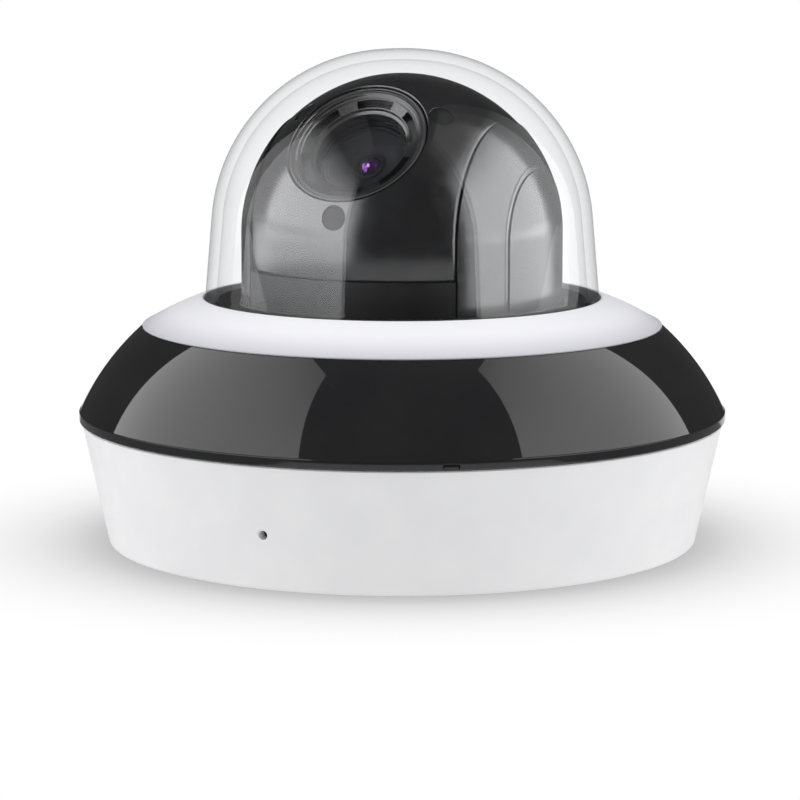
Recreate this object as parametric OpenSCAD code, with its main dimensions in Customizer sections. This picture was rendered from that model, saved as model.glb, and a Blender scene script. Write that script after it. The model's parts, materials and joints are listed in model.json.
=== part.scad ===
// Small pan, tilt and zoom dome camera, standing on its mounting face with the dome up.
// Millimetres. The origin is the centre of the mounting face, +Z goes up through the dome
// and the front of the base faces -Y.

/* [Base] */
// Radius of the base at the mounting face
base_foot_r = 59.8; // [59.6:0.1:60.2]
// Radius of the base at its upper rim
base_rim_r = 65.35; // [65.2:0.05:65.5]
// Height of the base housing
base_h = 24.7; // [24.5:0.1:24.8]
// Wall thickness of the base housing
base_wall = 2.4; // [2:0.1:2.6]
// Radius of the microphone hole in the front wall
mic_hole_r = 0.9; // [0.6:0.1:1.2]

/* [Cover] */
// Radius of the black band at its lower lip
band_lip_r = 65.7; // [65.6:0.05:65.9]
// Height of the upright strip along the band's lower edge
lip_h = 1.85; // [1.6:0.05:2]
// Radius of the black band at its upper edge
band_top_r = 52.75; // [52.6:0.05:52.9]
// Height of the band's upper edge above the mounting face
band_top_z = 43.7; // [43.6:0.05:43.75]
// How far the band bulges out from a straight cone
band_bulge = 1.1; // [0.8:0.1:1.4]
// Height of the inner edge of the pale ring
ring_top_z = 49.6; // [49.4:0.1:49.7]

/* [Dome] */
// Outer radius of the dome's round shoulder
dome_r = 36.5; // [36.4:0.05:36.6]
// Distance of the shoulder's centre from the dome's axis
shoulder_x = 2.14; // [2.1:0.02:2.2]
// Height of the shoulder's centre
dome_z = 62.95; // [62.8:0.05:63.1]
// Outer radius of the flatter crown over the shoulder
crown_r = 56; // [54:1:60]
// Draft angle of the dome's wall below the shoulder, in degrees
dome_draft = 4.98; // [4.9:0.02:5.06]
// Wall thickness of the dome
dome_wall = 2.2; // [1.8:0.1:2.3]

/* [Camera head] */
// Height of the tilt axis
ball_z = 62.5; // [62.4:0.1:62.8]
// Radius of the yoke arms and of their round tops
arm_r = 32.5; // [32.5:0.01:32.6]
// Radius of the tilting ball
ball_r = 32.15; // [31.9:0.01:32.15]
// Distance of the arms' inner faces from the middle
arm_x = 22.5; // [22.5:0.1:22.6]
// Distance of the side caps' seams from the middle
cap_x = 29.2; // [29:0.1:29.4]
// Height of the upper edge of the fairings between the arms
fairing_z = 55.9; // [54:0.1:57]
// Pan angle at rest, to the viewer's left of the front
pan_rest = 25; // [25:1:25]
// Elevation of the lens at rest
tilt_rest = 43; // [43:1:43]

/* [Lens] */
// Radius of the lens port in the ball
port_r = 14.5; // [14.4:0.1:14.6]
// Outer radius of the slotted lens bezel
bezel_r = 14.2; // [14.1:0.05:14.25]
// Radius of the front window
window_r = 9.2; // [9:0.1:9.25]
// Number of slots round the bezel
slot_n = 6; // [4:1:8]
// Angle that one slot covers, in degrees
slot_a = 30; // [20:1:36]

/* [Drives] */
// Radius of the pan pulley on the turntable
pan_pulley_r = 24; // [23.5:0.5:24]
// Radius of the pulley on the pan motor
pan_drive_r = 5; // [4.8:0.1:5.2]
// Distance of the pan motor's shaft from the pan axis
pan_motor_x = 45; // [45:0.1:45.4]
// Radius of the tilt pulley on the ball's shaft
tilt_pulley_r = 10; // [9.5:0.1:10]
// Radius of the pulley on the tilt motor
tilt_drive_r = 3.2; // [3:0.1:3.2]
// Thickness of the drive belts
belt_t = 0.9; // [0.7:0.1:1]

/* [Hidden] */
$fn = 96;
eps = 0.01;

// Gaps
seam = 0.15;         // between pieces of one body, as a visible seam
run_gap = 0.3;       // between pieces that move past each other
shaft_gap = 0.05;    // radial running fit of a shaft
belt_gap = 0.15;     // between a pulley and its belt

// Base
plate_t = 1.6;
plate_r = 56.2;
foot_round = 1;
rim_chamfer = 0.25;
rim_land = 2.85;     // flat width of the base's rim
rear_y = 70;         // beyond the base's wall, for cuts through it
lug_z = 0.7;         // height of the bayonet lugs' groove
lug_h = 1.2;
lug_out = 1.3;       // how far the lugs stand out
recess_z = 2.2;
floor_z = 4.4;
recess_r = plate_r + 0.4;
lug_n = 3;
lug_a = 24;
plate_screw_n = 3;
plate_screw_pcd = 84;
plate_screw_r = 2.25;
cable_hole_r = 8;
bay_x = 17;          // half width of the connector bay
bay_y = 45;          // front wall of the bay
bay_z = 13;          // ceiling of the bay
bay_t = 2;
notch_x = 11.5;
notch_z = 12;
notch_r = 3;
opening_z = 3;       // height of the opening under the connectors
mic_a = -90 - 25;
mic_z = 11;
mic_r = 3;
lock_a = 150;
lock_z = 5.5;
lock_r = 1.5;
cover_post_a = [60, 180, 300];
cover_post_pos = 53;
cover_post_r = 3.6;
cover_boss_r = 3.4;
cover_boss_top = 34;
cover_head_r = 2.8;  // cover screws' heads
cover_head_h = 2.2;
cover_seat = 3;      // depth of their counterbores
chassis_post_a = [45, 135, 225, 315];
chassis_post_pos = 46;
chassis_post_r = 2.6;

// Electronics
board_z = 6.6;
board_t = 1.6;
board_top = board_z + board_t;
board_r = 49;
board_boss_pos = 36;
board_boss_r = 2.6;
jack_x0 = -15.5;
jack_w = 16;
jack_d = 16;
jack_h = 10.6;
plug_w = 11.8;
plug_h = 6.8;
plug_d = 12;
power_x0 = 6.5;
power_w = 9;
power_h = 10;
button_x = 3.5;
button_z = 9;
button_r = 1.5;

// Pan drive
chassis_z = 12;
chassis_t = 1.5;
chassis_top = chassis_z + chassis_t;
race_h = 4;
race_in = 9;
race_out = 17;
race_t = 3;
bearing_ball_r = 1.4;
groove_r = 1.75;
bearing_ball_n = 16;
turn_z = 18.6;
turn_t = 2;
turn_top = turn_z + turn_t;
turn_r = 32.3;
stop_r = 34;
pan_belt_z = 14.2;
pan_belt_h = 3.4;
flange_h = 0.4;      // a pulley is this much taller than its belt, on each side
pan_shaft_r = 1;
pan_motor_r = 10;
pan_motor_h = 15;
bracket_x = 35.6;
bracket_y = 12;

// Cover
cover_z = base_h + 0.25;
band_t = 2.3;
ledge_z = 41.8;
ring_in_r = 40.3;
ring_foot_r = 52;
dome_foot_z = 44.4;
flange_r = 44.7;
flange_t = 1.8;
clamp_z = 46.5;      // underside of the ring's clamp on the dome's flange
skirt_r = 51;        // inside of the ring's skirt
skirt_z = 42.9;
floor_top = 49.2;
floor_t = 1.4;
floor_in_r = arm_r + 0.5;
floor_out_r = 37.4;
latch_a = -82;
latch_x = 1.6;
latch_h = 1.1;

// Head
shell_t = 2;
web_t = 1.6;         // inner wall of an arm
ball_t = 1.8;
ball_x = arm_x - run_gap;
split_z = -2;        // plane between the ball's front and rear shells, along the lens axis
arm_screw_x = 26.5;
arm_screw_y = 12.6;
arm_boss_r = 2.2;
arm_boss_top = 32;
motor_y = 5;
motor_z = 25.2;
motor_r = 4.4;
motor_shaft_r = 0.8;
bush_r = 4.4;
stub_bush_r = 6.4;
tilt_belt_x = arm_x + web_t + 0.8;
tilt_belt_w = 2.5;
tilt_dist = norm([motor_y, ball_z - motor_z]);
tilt_drive_a = atan2(motor_y, ball_z - motor_z);
shaft_r = 3;
stub_r = 5;
plug_r = 2.4;
plug_depth = 1.1;
plug_cone = 32.7;
plug_clock = [-90, 30, 150];

// Lens, as heights along its axis from the ball's centre
window_z = 24;
window_top = 26;
slot_in_r = 10.3;
slot_out_r = 11.9;
barrel_z = -8;
barrel_end = 23.5;
barrel_r = 11;
barrel_in_r = 9.25;
group_r = 9.05;      // sliding groups in the barrel
rail_y = 15.5;
sensor_z = -13.4;

function arc(p, q, sag, n) =
    let (d = q - p, c = norm(d), u = [d[1], -d[0]] / c)
    [for (i = [0:n]) let (t = i / n) p + d * t + u * sag * 4 * t * (1 - t)];

// ---- placing -------------------------------------------------------------------------
module at_polar(a, r) rotate([0, 0, a]) translate([r, 0, 0]) children();

// The panning head's frame: +X to its right arm, -Y to the side the lens looks to
module head() rotate([0, 0, -pan_rest]) children();

// The lens's frame: +Z out along the lens, +X along the tilt axis
module lens() head() translate([0, 0, ball_z]) rotate([90 - tilt_rest, 0, 0]) children();

// Along the tilt axis, from x outwards
module on_tilt(x) head() translate([x, 0, ball_z]) rotate([0, 90, 0]) children();

module tube(r1, r2, h) difference() {
    cylinder(h = h, r = r2);
    translate([0, 0, -1]) cylinder(h = h + 2, r = r1);
}

module slab(x1, x2, y1, y2, z1, z2) translate([x1, y1, z1]) cube([x2 - x1, y2 - y1, z2 - z1]);

// A cap screw standing on its head's underside, with its thread pointing down
module screw(head_r, head_h, r, len) {
    difference() {
        cylinder(h = head_h, r = head_r);
        translate([0, 0, head_h / 2]) cylinder(h = head_h, r = head_r * 0.5, $fn = 6);
    }
    translate([0, 0, -len]) cylinder(h = len + eps, r = r);
}

// Outline of a belt's run round two pulleys, off outside their rims
module belt_outline(r1, r2, dist, off, n = 48) {
    a = acos((r1 - r2) / dist);
    round_1 = [for (i = [0:n]) let (t = a + (360 - 2 * a) * i / n) (r1 + off) * [cos(t), sin(t)]];
    round_2 = [for (i = [0:n]) let (t = 2 * a * i / n - a) [dist, 0] + (r2 + off) * [cos(t), sin(t)]];
    polygon(concat(round_1, round_2));
}

module belt(r1, r2, dist, h) linear_extrude(h) difference() {
    belt_outline(r1, r2, dist, belt_gap + belt_t);
    belt_outline(r1, r2, dist, belt_gap);
}

// A toothed pulley with a bore
module pulley(r, bore_r, h, teeth) difference() {
    cylinder(h = h, r = r);
    translate([0, 0, -1]) cylinder(h = h + 2, r = bore_r);
    for (i = [0:teeth - 1]) at_polar(i * 360 / teeth, r) cube([1, r * 2.6 / teeth, h * 3], center = true);
}

// ---- base ----------------------------------------------------------------------------
module mounting_plate() color("silver") difference() {
    union() {
        cylinder(h = plate_t, r = plate_r);
        for (i = [0:lug_n - 1]) intersection() {
            translate([0, 0, 0.9]) cylinder(h = plate_t - 0.9, r = plate_r + lug_out);
            at_polar(i * 360 / lug_n - 90, plate_r) cube([8, 14, 8], center = true);
        }
    }
    for (i = [0:plate_screw_n - 1]) at_polar(i * 360 / plate_screw_n + 30, plate_screw_pcd / 2)
        translate([0, 0, -1]) cylinder(h = plate_t + 2, r = plate_screw_r);
    translate([0, 0, -1]) cylinder(h = plate_t + 2, r = cable_hole_r);
    slab(-bay_x - bay_t - run_gap, bay_x + bay_t + run_gap, bay_y - bay_t - run_gap, rear_y, -1, 5);
}

// Solid of the base's outside, grown inwards by inset
module base_envelope(inset) rotate_extrude() polygon(concat(
    [[0, 0]],
    inset > 0 ? [[base_foot_r - inset, 0]] :
        [for (i = [0:6]) let (a = -90 + i * 15)
            [base_foot_r - foot_round * (1 - cos(a)), foot_round * (1 + sin(a))]],
    [[base_rim_r - inset - rim_chamfer, base_h - rim_chamfer],
        [base_rim_r - inset - 2 * rim_chamfer, base_h], [0, base_h]]));

module base_cup() difference() {
    base_envelope(0);
    intersection() {
        base_envelope(base_wall);
        translate([0, 0, floor_z]) cylinder(h = 40, r = 80);
    }
    translate([0, 0, base_h - 2]) cylinder(h = 4, r = base_rim_r - rim_land);
    translate([0, 0, -1]) cylinder(h = 1 + recess_z, r = recess_r);
    translate([0, 0, lug_z]) cylinder(h = lug_h, r = recess_r + lug_out);
    for (i = [0:lug_n - 1]) intersection() {
        translate([0, 0, -1]) cylinder(h = 2, r = recess_r + lug_out);
        at_polar(i * 360 / lug_n - 90 + lug_a, plate_r) cube([8, 15, 8], center = true);
    }
}

module base_posts() {
    for (a = cover_post_a) at_polar(a, cover_post_pos)
        translate([0, 0, recess_z]) cylinder(h = base_h - 0.7 - recess_z, r = cover_post_r);
    for (a = chassis_post_a) at_polar(a, chassis_post_pos)
        translate([0, 0, recess_z]) cylinder(h = chassis_z - recess_z, r = chassis_post_r);
    for (a = chassis_post_a) at_polar(a, board_boss_pos)
        translate([0, 0, recess_z]) cylinder(h = board_z - recess_z, r = board_boss_r);
}

module base_post_holes() {
    for (a = cover_post_a) at_polar(a, cover_post_pos) {
        translate([0, 0, -1]) cylinder(h = base_h + 2, r = 1.6);
        translate([0, 0, -1]) cylinder(h = 1 + recess_z + cover_seat, r = cover_head_r + run_gap);
    }
    for (a = chassis_post_a) at_polar(a, chassis_post_pos)
        translate([0, 0, chassis_z - 6]) cylinder(h = 8, r = 1.3);
    for (a = chassis_post_a) at_polar(a, board_boss_pos)
        translate([0, 0, recess_z + 0.8]) cylinder(h = 8, r = 1.05);
}

// Opening in the bay's front wall for a socket
module jack_opening(x, w, h)
    slab(x - 0.1, x + w + 0.1, bay_y - bay_t - 2, bay_y + 1, floor_z + eps, floor_z + h + 0.1);

module base_housing() color("white") difference() {
    union() {
        base_cup();
        base_posts();
        intersection() {
            base_envelope(1);
            slab(-bay_x - bay_t, bay_x + bay_t, bay_y - bay_t, rear_y, 0, bay_z + bay_t);
        }
    }
    base_post_holes();
    intersection() {
        translate([0, 0, -1]) base_envelope(base_wall);
        slab(-bay_x, bay_x, bay_y, rear_y, -1, bay_z);
    }
    slab(-bay_x, bay_x, bay_y, plate_r + 0.8, -1, opening_z);
    slab(-notch_x, notch_x, bay_y + 5, rear_y, -1, notch_z - notch_r);
    slab(-notch_x + notch_r, notch_x - notch_r, bay_y + 5, rear_y, -1, notch_z);
    for (s = [-1, 1]) translate([s * (notch_x - notch_r), bay_y + 5, notch_z - notch_r])
        rotate([-90, 0, 0]) cylinder(h = 20, r = notch_r);
    jack_opening(jack_x0, jack_w, jack_h);
    jack_opening(power_x0, power_w, power_h);
    translate([button_x, bay_y - 4, button_z]) rotate([-90, 0, 0]) cylinder(h = 6, r = button_r + 0.08);
    at_polar(mic_a, 50) translate([0, 0, mic_z]) rotate([0, 90, 0]) cylinder(h = 20, r = mic_hole_r);
    at_polar(lock_a, 50) translate([0, 0, lock_z])
        rotate([0, 90, 0]) cylinder(h = 20, r = lock_r + shaft_gap);
}

// Grub screw through the base's wall that stops the camera turning off its plate
module lock_screw() color("dimgray") at_polar(lock_a, recess_r) translate([0, 0, lock_z])
    rotate([0, 90, 0]) difference() {
        cylinder(h = 4, r = lock_r);
        translate([0, 0, 2]) cylinder(h = 4, r = lock_r * 0.53, $fn = 6);
    }

module network_jack() color("silver") difference() {
    slab(jack_x0, jack_x0 + jack_w, bay_y + 0.4 - jack_d, bay_y + 0.4, floor_z + 0.05, floor_z + jack_h);
    translate([jack_x0 + (jack_w - plug_w) / 2, bay_y + 0.4 - plug_d, floor_z + 1.2])
        cube([plug_w, plug_d + 1, plug_h]);
    translate([jack_x0 + jack_w / 2 - 3, bay_y + 0.4 - plug_d, floor_z + 1.2 + plug_h - eps])
        cube([6, plug_d + 1, 1.4]);
}

module power_jack() color("black") {
    difference() {
        slab(power_x0, power_x0 + power_w, bay_y + 0.4 - 11, bay_y + 0.4, floor_z + 0.05, floor_z + power_h);
        translate([power_x0 + power_w / 2, bay_y - 8.6, floor_z + 5])
            rotate([-90, 0, 0]) cylinder(h = 12, r = 3.15);
    }
    translate([power_x0 + power_w / 2, bay_y - 9, floor_z + 5])
        rotate([-90, 0, 0]) cylinder(h = 8.4, r = 1);
}

module reset_button() color("gray") translate([button_x, bay_y - 5, button_z]) rotate([-90, 0, 0]) {
    cylinder(h = 5.6, r = button_r);
    cylinder(h = 1.6, r = button_r + 0.8);
}

module reset_switch() color("darkslategray") slab(button_x - 2.6, button_x + 2.6, bay_y - 9, bay_y - 5.6,
    button_z - 2.6, button_z + 2.6);

module microphone() color("gainsboro") at_polar(mic_a, 55.2) translate([0, 0, mic_z])
    rotate([0, 90, 0]) cylinder(h = 3, r = mic_r);

module mic_boot() color("black") at_polar(mic_a, 54.6) translate([0, 0, mic_z])
    rotate([0, 90, 0]) difference() {
        cylinder(h = 4, r = mic_r + 1);
        translate([0, 0, 0.6]) cylinder(h = 3 + eps, r = mic_r);
        cylinder(h = 5, r = mic_hole_r);
    }

// ---- electronics ---------------------------------------------------------------------
module main_board() color("green") difference() {
    translate([0, 0, board_z]) cylinder(h = board_t, r = board_r);
    slab(-bay_x - bay_t - 1, bay_x + bay_t + 1, bay_y - jack_d - 1, rear_y, 0, 20);
    for (a = chassis_post_a) at_polar(a, chassis_post_pos) cylinder(h = 20, r = chassis_post_r + 0.3);
    for (a = chassis_post_a) at_polar(a, board_boss_pos) cylinder(h = 20, r = 1.3);
}

module board_screws() color("silver") for (a = chassis_post_a) at_polar(a, board_boss_pos)
    translate([0, 0, board_top]) screw(2, 1.3, 1, 4.4);

module processor() color("black") slab(-21, -6, -19, -4, board_top, board_top + 1);

module heat_sink() color("gray") {
    slab(-22, -5, -20, -3, board_top + 1, board_top + 1.8);
    for (i = [0:6]) translate([i * 2.7, 0, 0])
        slab(-22, -21.2, -20, -3, board_top + 1.8 - eps, board_top + 3.3);
}

module card_socket() color("silver") difference() {
    slab(4, 18, -44, -30, board_top, board_top + 1.7);
    slab(5, 17, -45, -32, board_top + 0.5, board_top + 1.3);
}

module network_magnetics() color("black") slab(-13, -1, 16, 26, board_top, board_top + 3.2);

module capacitors() color("silver") for (i = [0:2])
    translate([12 + i * 8, 14, board_top]) cylinder(h = 3.4, r = 3);

module chassis() color("lightgray") difference() {
    union() {
        translate([0, 0, chassis_z]) cylinder(h = chassis_t, r = board_r);
        translate([0, 0, chassis_z]) cylinder(h = chassis_t + 3.5, r = race_out + 2);
        at_polar(180, stop_r) translate([0, 0, chassis_z]) cylinder(h = turn_top - 0.2 - chassis_z, r = 1.2);
    }
    translate([0, 0, chassis_top]) cylinder(h = 10, r = race_out);
    translate([0, 0, chassis_z - 1]) cylinder(h = 10, r = race_out - race_t);
    slab(-bay_x - bay_t - 1, bay_x + bay_t + 1, bay_y - jack_d - 1, rear_y, 0, 20);
    for (a = chassis_post_a) at_polar(a, chassis_post_pos) cylinder(h = 20, r = 1.5);
}

module chassis_screws() color("silver") for (a = chassis_post_a) at_polar(a, chassis_post_pos)
    translate([0, 0, chassis_top]) screw(2.4, 1.6, 1.25, 6);

// ---- pan drive -----------------------------------------------------------------------
module bearing_outer_race() color("silver") translate([0, 0, chassis_top]) rotate_extrude()
    difference() {
        translate([race_out - race_t, 0]) square([race_t, race_h]);
        translate([(race_in + race_out) / 2, race_h / 2]) circle(r = groove_r);
    }

module bearing_inner_race() color("silver") translate([0, 0, chassis_top]) rotate_extrude()
    difference() {
        translate([race_in, 0]) square([race_t, race_h]);
        translate([(race_in + race_out) / 2, race_h / 2]) circle(r = groove_r);
    }

module bearing_balls() color("silver") for (i = [0:bearing_ball_n - 1])
    at_polar(i * 360 / bearing_ball_n, (race_in + race_out) / 2)
        translate([0, 0, chassis_top + race_h / 2]) sphere(r = bearing_ball_r);

module pan_motor() color("dimgray") at_polar(0, pan_motor_x) difference() {
    union() {
        translate([0, 0, turn_top + run_gap]) cylinder(h = pan_motor_h, r = pan_motor_r);
        translate([0, 0, turn_top + run_gap + pan_motor_h - eps]) cylinder(h = 1.2, r = 3);
    }
    translate([0, 0, turn_top]) cylinder(h = 10, r = pan_shaft_r + shaft_gap);
}

module motor_bracket() color("lightgray") difference() {
    union() {
        slab(bracket_x, pan_motor_x + pan_motor_r, -bracket_y, bracket_y, turn_top - 1.2, turn_top + run_gap);
        for (s = [-1, 1]) slab(41, 46.5, s * 11.2 - 0.8, s * 11.2 + 0.8, chassis_top, turn_top);
    }
    at_polar(0, pan_motor_x) cylinder(h = 40, r = 3);
    for (s = [-1, 1]) slab(50, 60, s * 10 - 4, s * 10 + 4, 0, 40);
}

module pan_drive_pulley() color("goldenrod") at_polar(0, pan_motor_x) {
    translate([0, 0, pan_belt_z - flange_h]) difference() {
        pulley(pan_drive_r, 0.5, pan_belt_h + 2 * flange_h, 20);
        translate([0, 0, 1]) cylinder(h = 9, r = pan_shaft_r - eps);
    }
    translate([0, 0, pan_belt_z + 0.6]) cylinder(h = turn_top + 9 - pan_belt_z - 0.6, r = pan_shaft_r);
}

module pan_belt() color("black") translate([0, 0, pan_belt_z])
    belt(pan_pulley_r, pan_drive_r, pan_motor_x, pan_belt_h);

// ---- cover ---------------------------------------------------------------------------
module cover_seal() color("dimgray") translate([0, 0, base_h]) tube(base_rim_r - 3.2, base_rim_r - 0.8, 0.24);

module cover_band() color("black") difference() {
    union() {
        rotate_extrude() polygon(concat(
            [[band_lip_r - 2.3, cover_z], [band_lip_r - 0.4, cover_z], [band_lip_r - 0.12, cover_z + 0.12],
                [band_lip_r, cover_z + 0.4], [band_lip_r, cover_z + lip_h - 0.35]],
            arc([band_lip_r - 0.2, cover_z + lip_h], [band_top_r, band_top_z], band_bulge, 12),
            [[ring_foot_r + 0.15, band_top_z], [ring_foot_r + 0.15, ledge_z],
                [42, ledge_z], [42, ledge_z - 2]],
            arc([band_top_r + 0.4, ledge_z - 2], [band_lip_r - 2.3, cover_z + 1.4], -0.9, 8)));
        for (a = cover_post_a) at_polar(a, cover_post_pos) {
            translate([0, 0, cover_z]) cylinder(h = cover_boss_top - cover_z, r = cover_boss_r);
            slab(0, 7.2, -1.2, 1.2, cover_z + 3, cover_boss_top);
        }
    }
    for (a = cover_post_a) at_polar(a, cover_post_pos) cylinder(h = cover_boss_top - 1, r = 1.5);
    at_polar(latch_a, band_lip_r) slab(-1.2, 1, -latch_x, latch_x, cover_z - 1, cover_z + latch_h);
}

// The small catch in the band's lower edge
module cover_latch() color("black") at_polar(latch_a, band_lip_r)
    slab(-1.1, -0.1, -latch_x + 0.2, latch_x - 0.2, cover_z, cover_z + latch_h - seam);

module cover_screws() color("silver") for (a = cover_post_a) at_polar(a, cover_post_pos)
    translate([0, 0, recess_z + cover_seat - 0.1])
        rotate([180, 0, 0]) screw(cover_head_r, cover_head_h, 1.45, 26);

// The ring of floor between the head and the dome, with the foot it is clamped by
module dome_floor() color("black") rotate_extrude() polygon([[floor_in_r, floor_top - floor_t],
    [floor_out_r - floor_t, floor_top - floor_t], [floor_out_r - floor_t, ledge_z + 0.2],
    [46, ledge_z + 0.2], [46, ledge_z + 0.2 + floor_t], [floor_out_r, ledge_z + 0.2 + floor_t],
    [floor_out_r, floor_top], [floor_in_r, floor_top]]);

module dome_seal() color("gray") translate([0, 0, ledge_z + 0.2 + floor_t])
    tube(39.6, 44, dome_foot_z - ledge_z - 0.2 - floor_t);

// Inside of the dome's outline moved in by t, from z up: a drafted wall, a round shoulder
// and a flatter crown, each tangent to the next
module dome_solid(t, z) {
    r = dome_r - t;
    crown_z = dome_z - sqrt(pow(crown_r - dome_r, 2) - pow(shoulder_x, 2));
    crown_a = atan2(dome_z - crown_z, shoulder_x);
    low_z = dome_z + r * sin(dome_draft);
    high_z = dome_z + r * sin(crown_a);
    low_r = shoulder_x + r * cos(dome_draft);
    translate([0, 0, z]) cylinder(h = low_z - z, r1 = low_r + (low_z - z) * tan(dome_draft), r2 = low_r);
    rotate_extrude() intersection() {
        translate([shoulder_x, dome_z]) circle(r = r);
        translate([0, low_z]) square([80, high_z - low_z]);
    }
    difference() {
        translate([0, 0, crown_z]) sphere(r = crown_r - t);
        translate([0, 0, high_z - 200]) cylinder(h = 200, r = 100);
    }
}

module clear_dome() color("lightcyan", 0.35) difference() {
    union() {
        dome_solid(0, dome_foot_z + flange_t);
        translate([0, 0, dome_foot_z]) cylinder(h = flange_t, r = flange_r);
    }
    dome_solid(dome_wall, dome_foot_z - 1);
}

module trim_ring() color("whitesmoke") rotate_extrude() polygon(concat(
    [[ring_foot_r, band_top_z + 0.08], [ring_foot_r + 0.5, band_top_z + 0.08],
        [band_top_r, band_top_z + 0.3], [ring_foot_r + 0.55, band_top_z + 0.6]],
    [[ring_in_r + 0.35, ring_top_z], [ring_in_r + 0.1, ring_top_z - 0.06], [ring_in_r, ring_top_z - 0.3]],
    [[ring_in_r + 0.3, clamp_z], [flange_r + 0.2, clamp_z], [flange_r + 0.2, clamp_z - 1.1],
        [skirt_r, skirt_z], [skirt_r, ledge_z + 0.1], [ring_foot_r, ledge_z + 0.1]]));

// ---- panning head --------------------------------------------------------------------
module at_arm_screws() for (x = [-arm_screw_x, arm_screw_x]) for (y = [-arm_screw_y, arm_screw_y])
    translate([x, y, 0]) children();

module turntable() color("dimgray") {
    difference() {
        union() {
            translate([0, 0, turn_z]) cylinder(h = turn_t, r = turn_r);
            translate([0, 0, chassis_top - 0.5]) cylinder(h = turn_z - chassis_top + 1, r = race_in - 0.02);
            translate([0, 0, chassis_top + race_h]) cylinder(h = turn_z - chassis_top - race_h + 1, r = 11);
            rotate([0, 0, -pan_rest]) intersection() {
                translate([0, 0, turn_z + 0.2]) tube(turn_r - 2, stop_r + 0.4, turn_t - 0.4);
                slab(20, 40, -1.48, 1.48, 0, 40);
            }
        }
        translate([0, 0, 1]) cylinder(h = 40, r = 6.5);
        head() at_arm_screws() translate([0, 0, 1]) cylinder(h = 40, r = 1.2);
    }
}

module pan_pulley() color("goldenrod") translate([0, 0, pan_belt_z - flange_h])
    pulley(pan_pulley_r, pan_pulley_r - 3.5, turn_z - pan_belt_z + flange_h, 96);

// The head's column with its round top, of radius r, from z up
module head_solid(r, z) {
    translate([0, 0, z]) cylinder(h = ball_z - z, r = r);
    difference() {
        translate([0, 0, ball_z]) sphere(r = r);
        translate([0, 0, ball_z - 100]) cylinder(h = 100, r = 80);
    }
}

module yoke_arm() difference() {
    intersection() {
        head_solid(arm_r, turn_top);
        slab(arm_x, cap_x, -40, 40, 0, 120);
    }
    difference() {
        intersection() {
            head_solid(arm_r - shell_t, turn_top - 1);
            slab(arm_x + web_t, cap_x + 1, -40, 40, 0, 120);
        }
        at_arm_screws() cylinder(h = arm_boss_top, r = arm_boss_r);
    }
    at_arm_screws() cylinder(h = arm_boss_top - 2, r = 1.2);
}

module yoke_arm_right() color("black") head() difference() {
    yoke_arm();
    translate([20, 0, ball_z]) rotate([0, 90, 0]) cylinder(h = 5, r = bush_r + shaft_gap);
    translate([20, motor_y, motor_z]) rotate([0, 90, 0]) cylinder(h = 5, r = motor_shaft_r + 0.4);
}

module yoke_arm_left() color("black") head() mirror([1, 0, 0]) difference() {
    yoke_arm();
    translate([20, 0, ball_z]) rotate([0, 90, 0]) cylinder(h = 5, r = stub_bush_r + shaft_gap);
}

module side_cap() difference() {
    intersection() {
        head_solid(arm_r, turn_top);
        slab(cap_x + seam, 40, -40, 40, 0, 120);
    }
    head_solid(arm_r - shell_t, turn_top + 2);
}

module side_cap_right() color("black") head() side_cap();
module side_cap_left() color("black") head() mirror([1, 0, 0]) side_cap();

// Fairing between the arms, under the ball
module fairing(y1, y2) head() difference() {
    intersection() {
        translate([0, 0, turn_top]) cylinder(h = fairing_z - turn_top, r = arm_r - 0.1);
        slab(-arm_x + seam, arm_x - seam, y1, y2, 0, 120);
    }
    cylinder(h = 100, r = arm_r - 2.1);
    translate([0, 0, ball_z]) sphere(r = ball_r + 0.35);
}

module fairing_front() color("black") fairing(-40, 0);
module fairing_rear() color("black") fairing(0, 40);

module yoke_screws() color("silver") head() at_arm_screws() translate([0, 0, turn_z])
    rotate([180, 0, 0]) screw(2, 0.7, 1.15, 10);

module tilt_motor() color("dimgray") head() translate([0, motor_y, motor_z]) rotate([0, 90, 0])
    difference() {
        union() {
            translate([0, 0, 1]) cylinder(h = arm_x - 1, r = motor_r);
            translate([0, 0, -1]) cylinder(h = 2 + eps, r = 2);
        }
        translate([0, 0, 12]) cylinder(h = 20, r = motor_shaft_r + shaft_gap);
    }

module tilt_drive_pulley() color("goldenrod") head() translate([0, motor_y, motor_z]) rotate([0, 90, 0]) {
    translate([0, 0, tilt_belt_x]) difference() {
        pulley(tilt_drive_r, 0.4, tilt_belt_w, 16);
        translate([0, 0, 0.6]) cylinder(h = 9, r = motor_shaft_r - eps);
    }
    translate([0, 0, 13]) cylinder(h = tilt_belt_x + tilt_belt_w - 13.2, r = motor_shaft_r);
}

module tilt_belt() color("black") head() translate([tilt_belt_x + 0.2, 0, ball_z])
    rotate([0, 90, 0]) rotate([0, 0, tilt_drive_a])
        belt(tilt_pulley_r, tilt_drive_r, tilt_dist, tilt_belt_w - 0.4);

module tilt_bushes() color("peru") {
    on_tilt(arm_x - 0.1) tube(shaft_r + shaft_gap, bush_r, web_t + 0.2);
    on_tilt(-arm_x - web_t - 0.1) tube(stub_r + shaft_gap, stub_bush_r, web_t + 0.2);
}

// ---- tilting ball --------------------------------------------------------------------
// Slice of a sphere between the arms, on one side of the split plane
module ball_slice(r, x, z1, z2) intersection() {
    sphere(r = r);
    slab(-x, x, -40, 40, z1, z2);
}

module ball_shell(z1, z2) difference() {
    ball_slice(ball_r, ball_x, z1, z2);
    ball_slice(ball_r - ball_t, ball_x - ball_t, -50, 50);
    rotate([0, 90, 0]) cylinder(h = 30, r = shaft_r + shaft_gap);
    rotate([0, -90, 0]) cylinder(h = 30, r = stub_r + shaft_gap);
}

module at_plugs() for (a = plug_clock) rotate([0, 0, a]) rotate([0, plug_cone, 0]) children();

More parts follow.
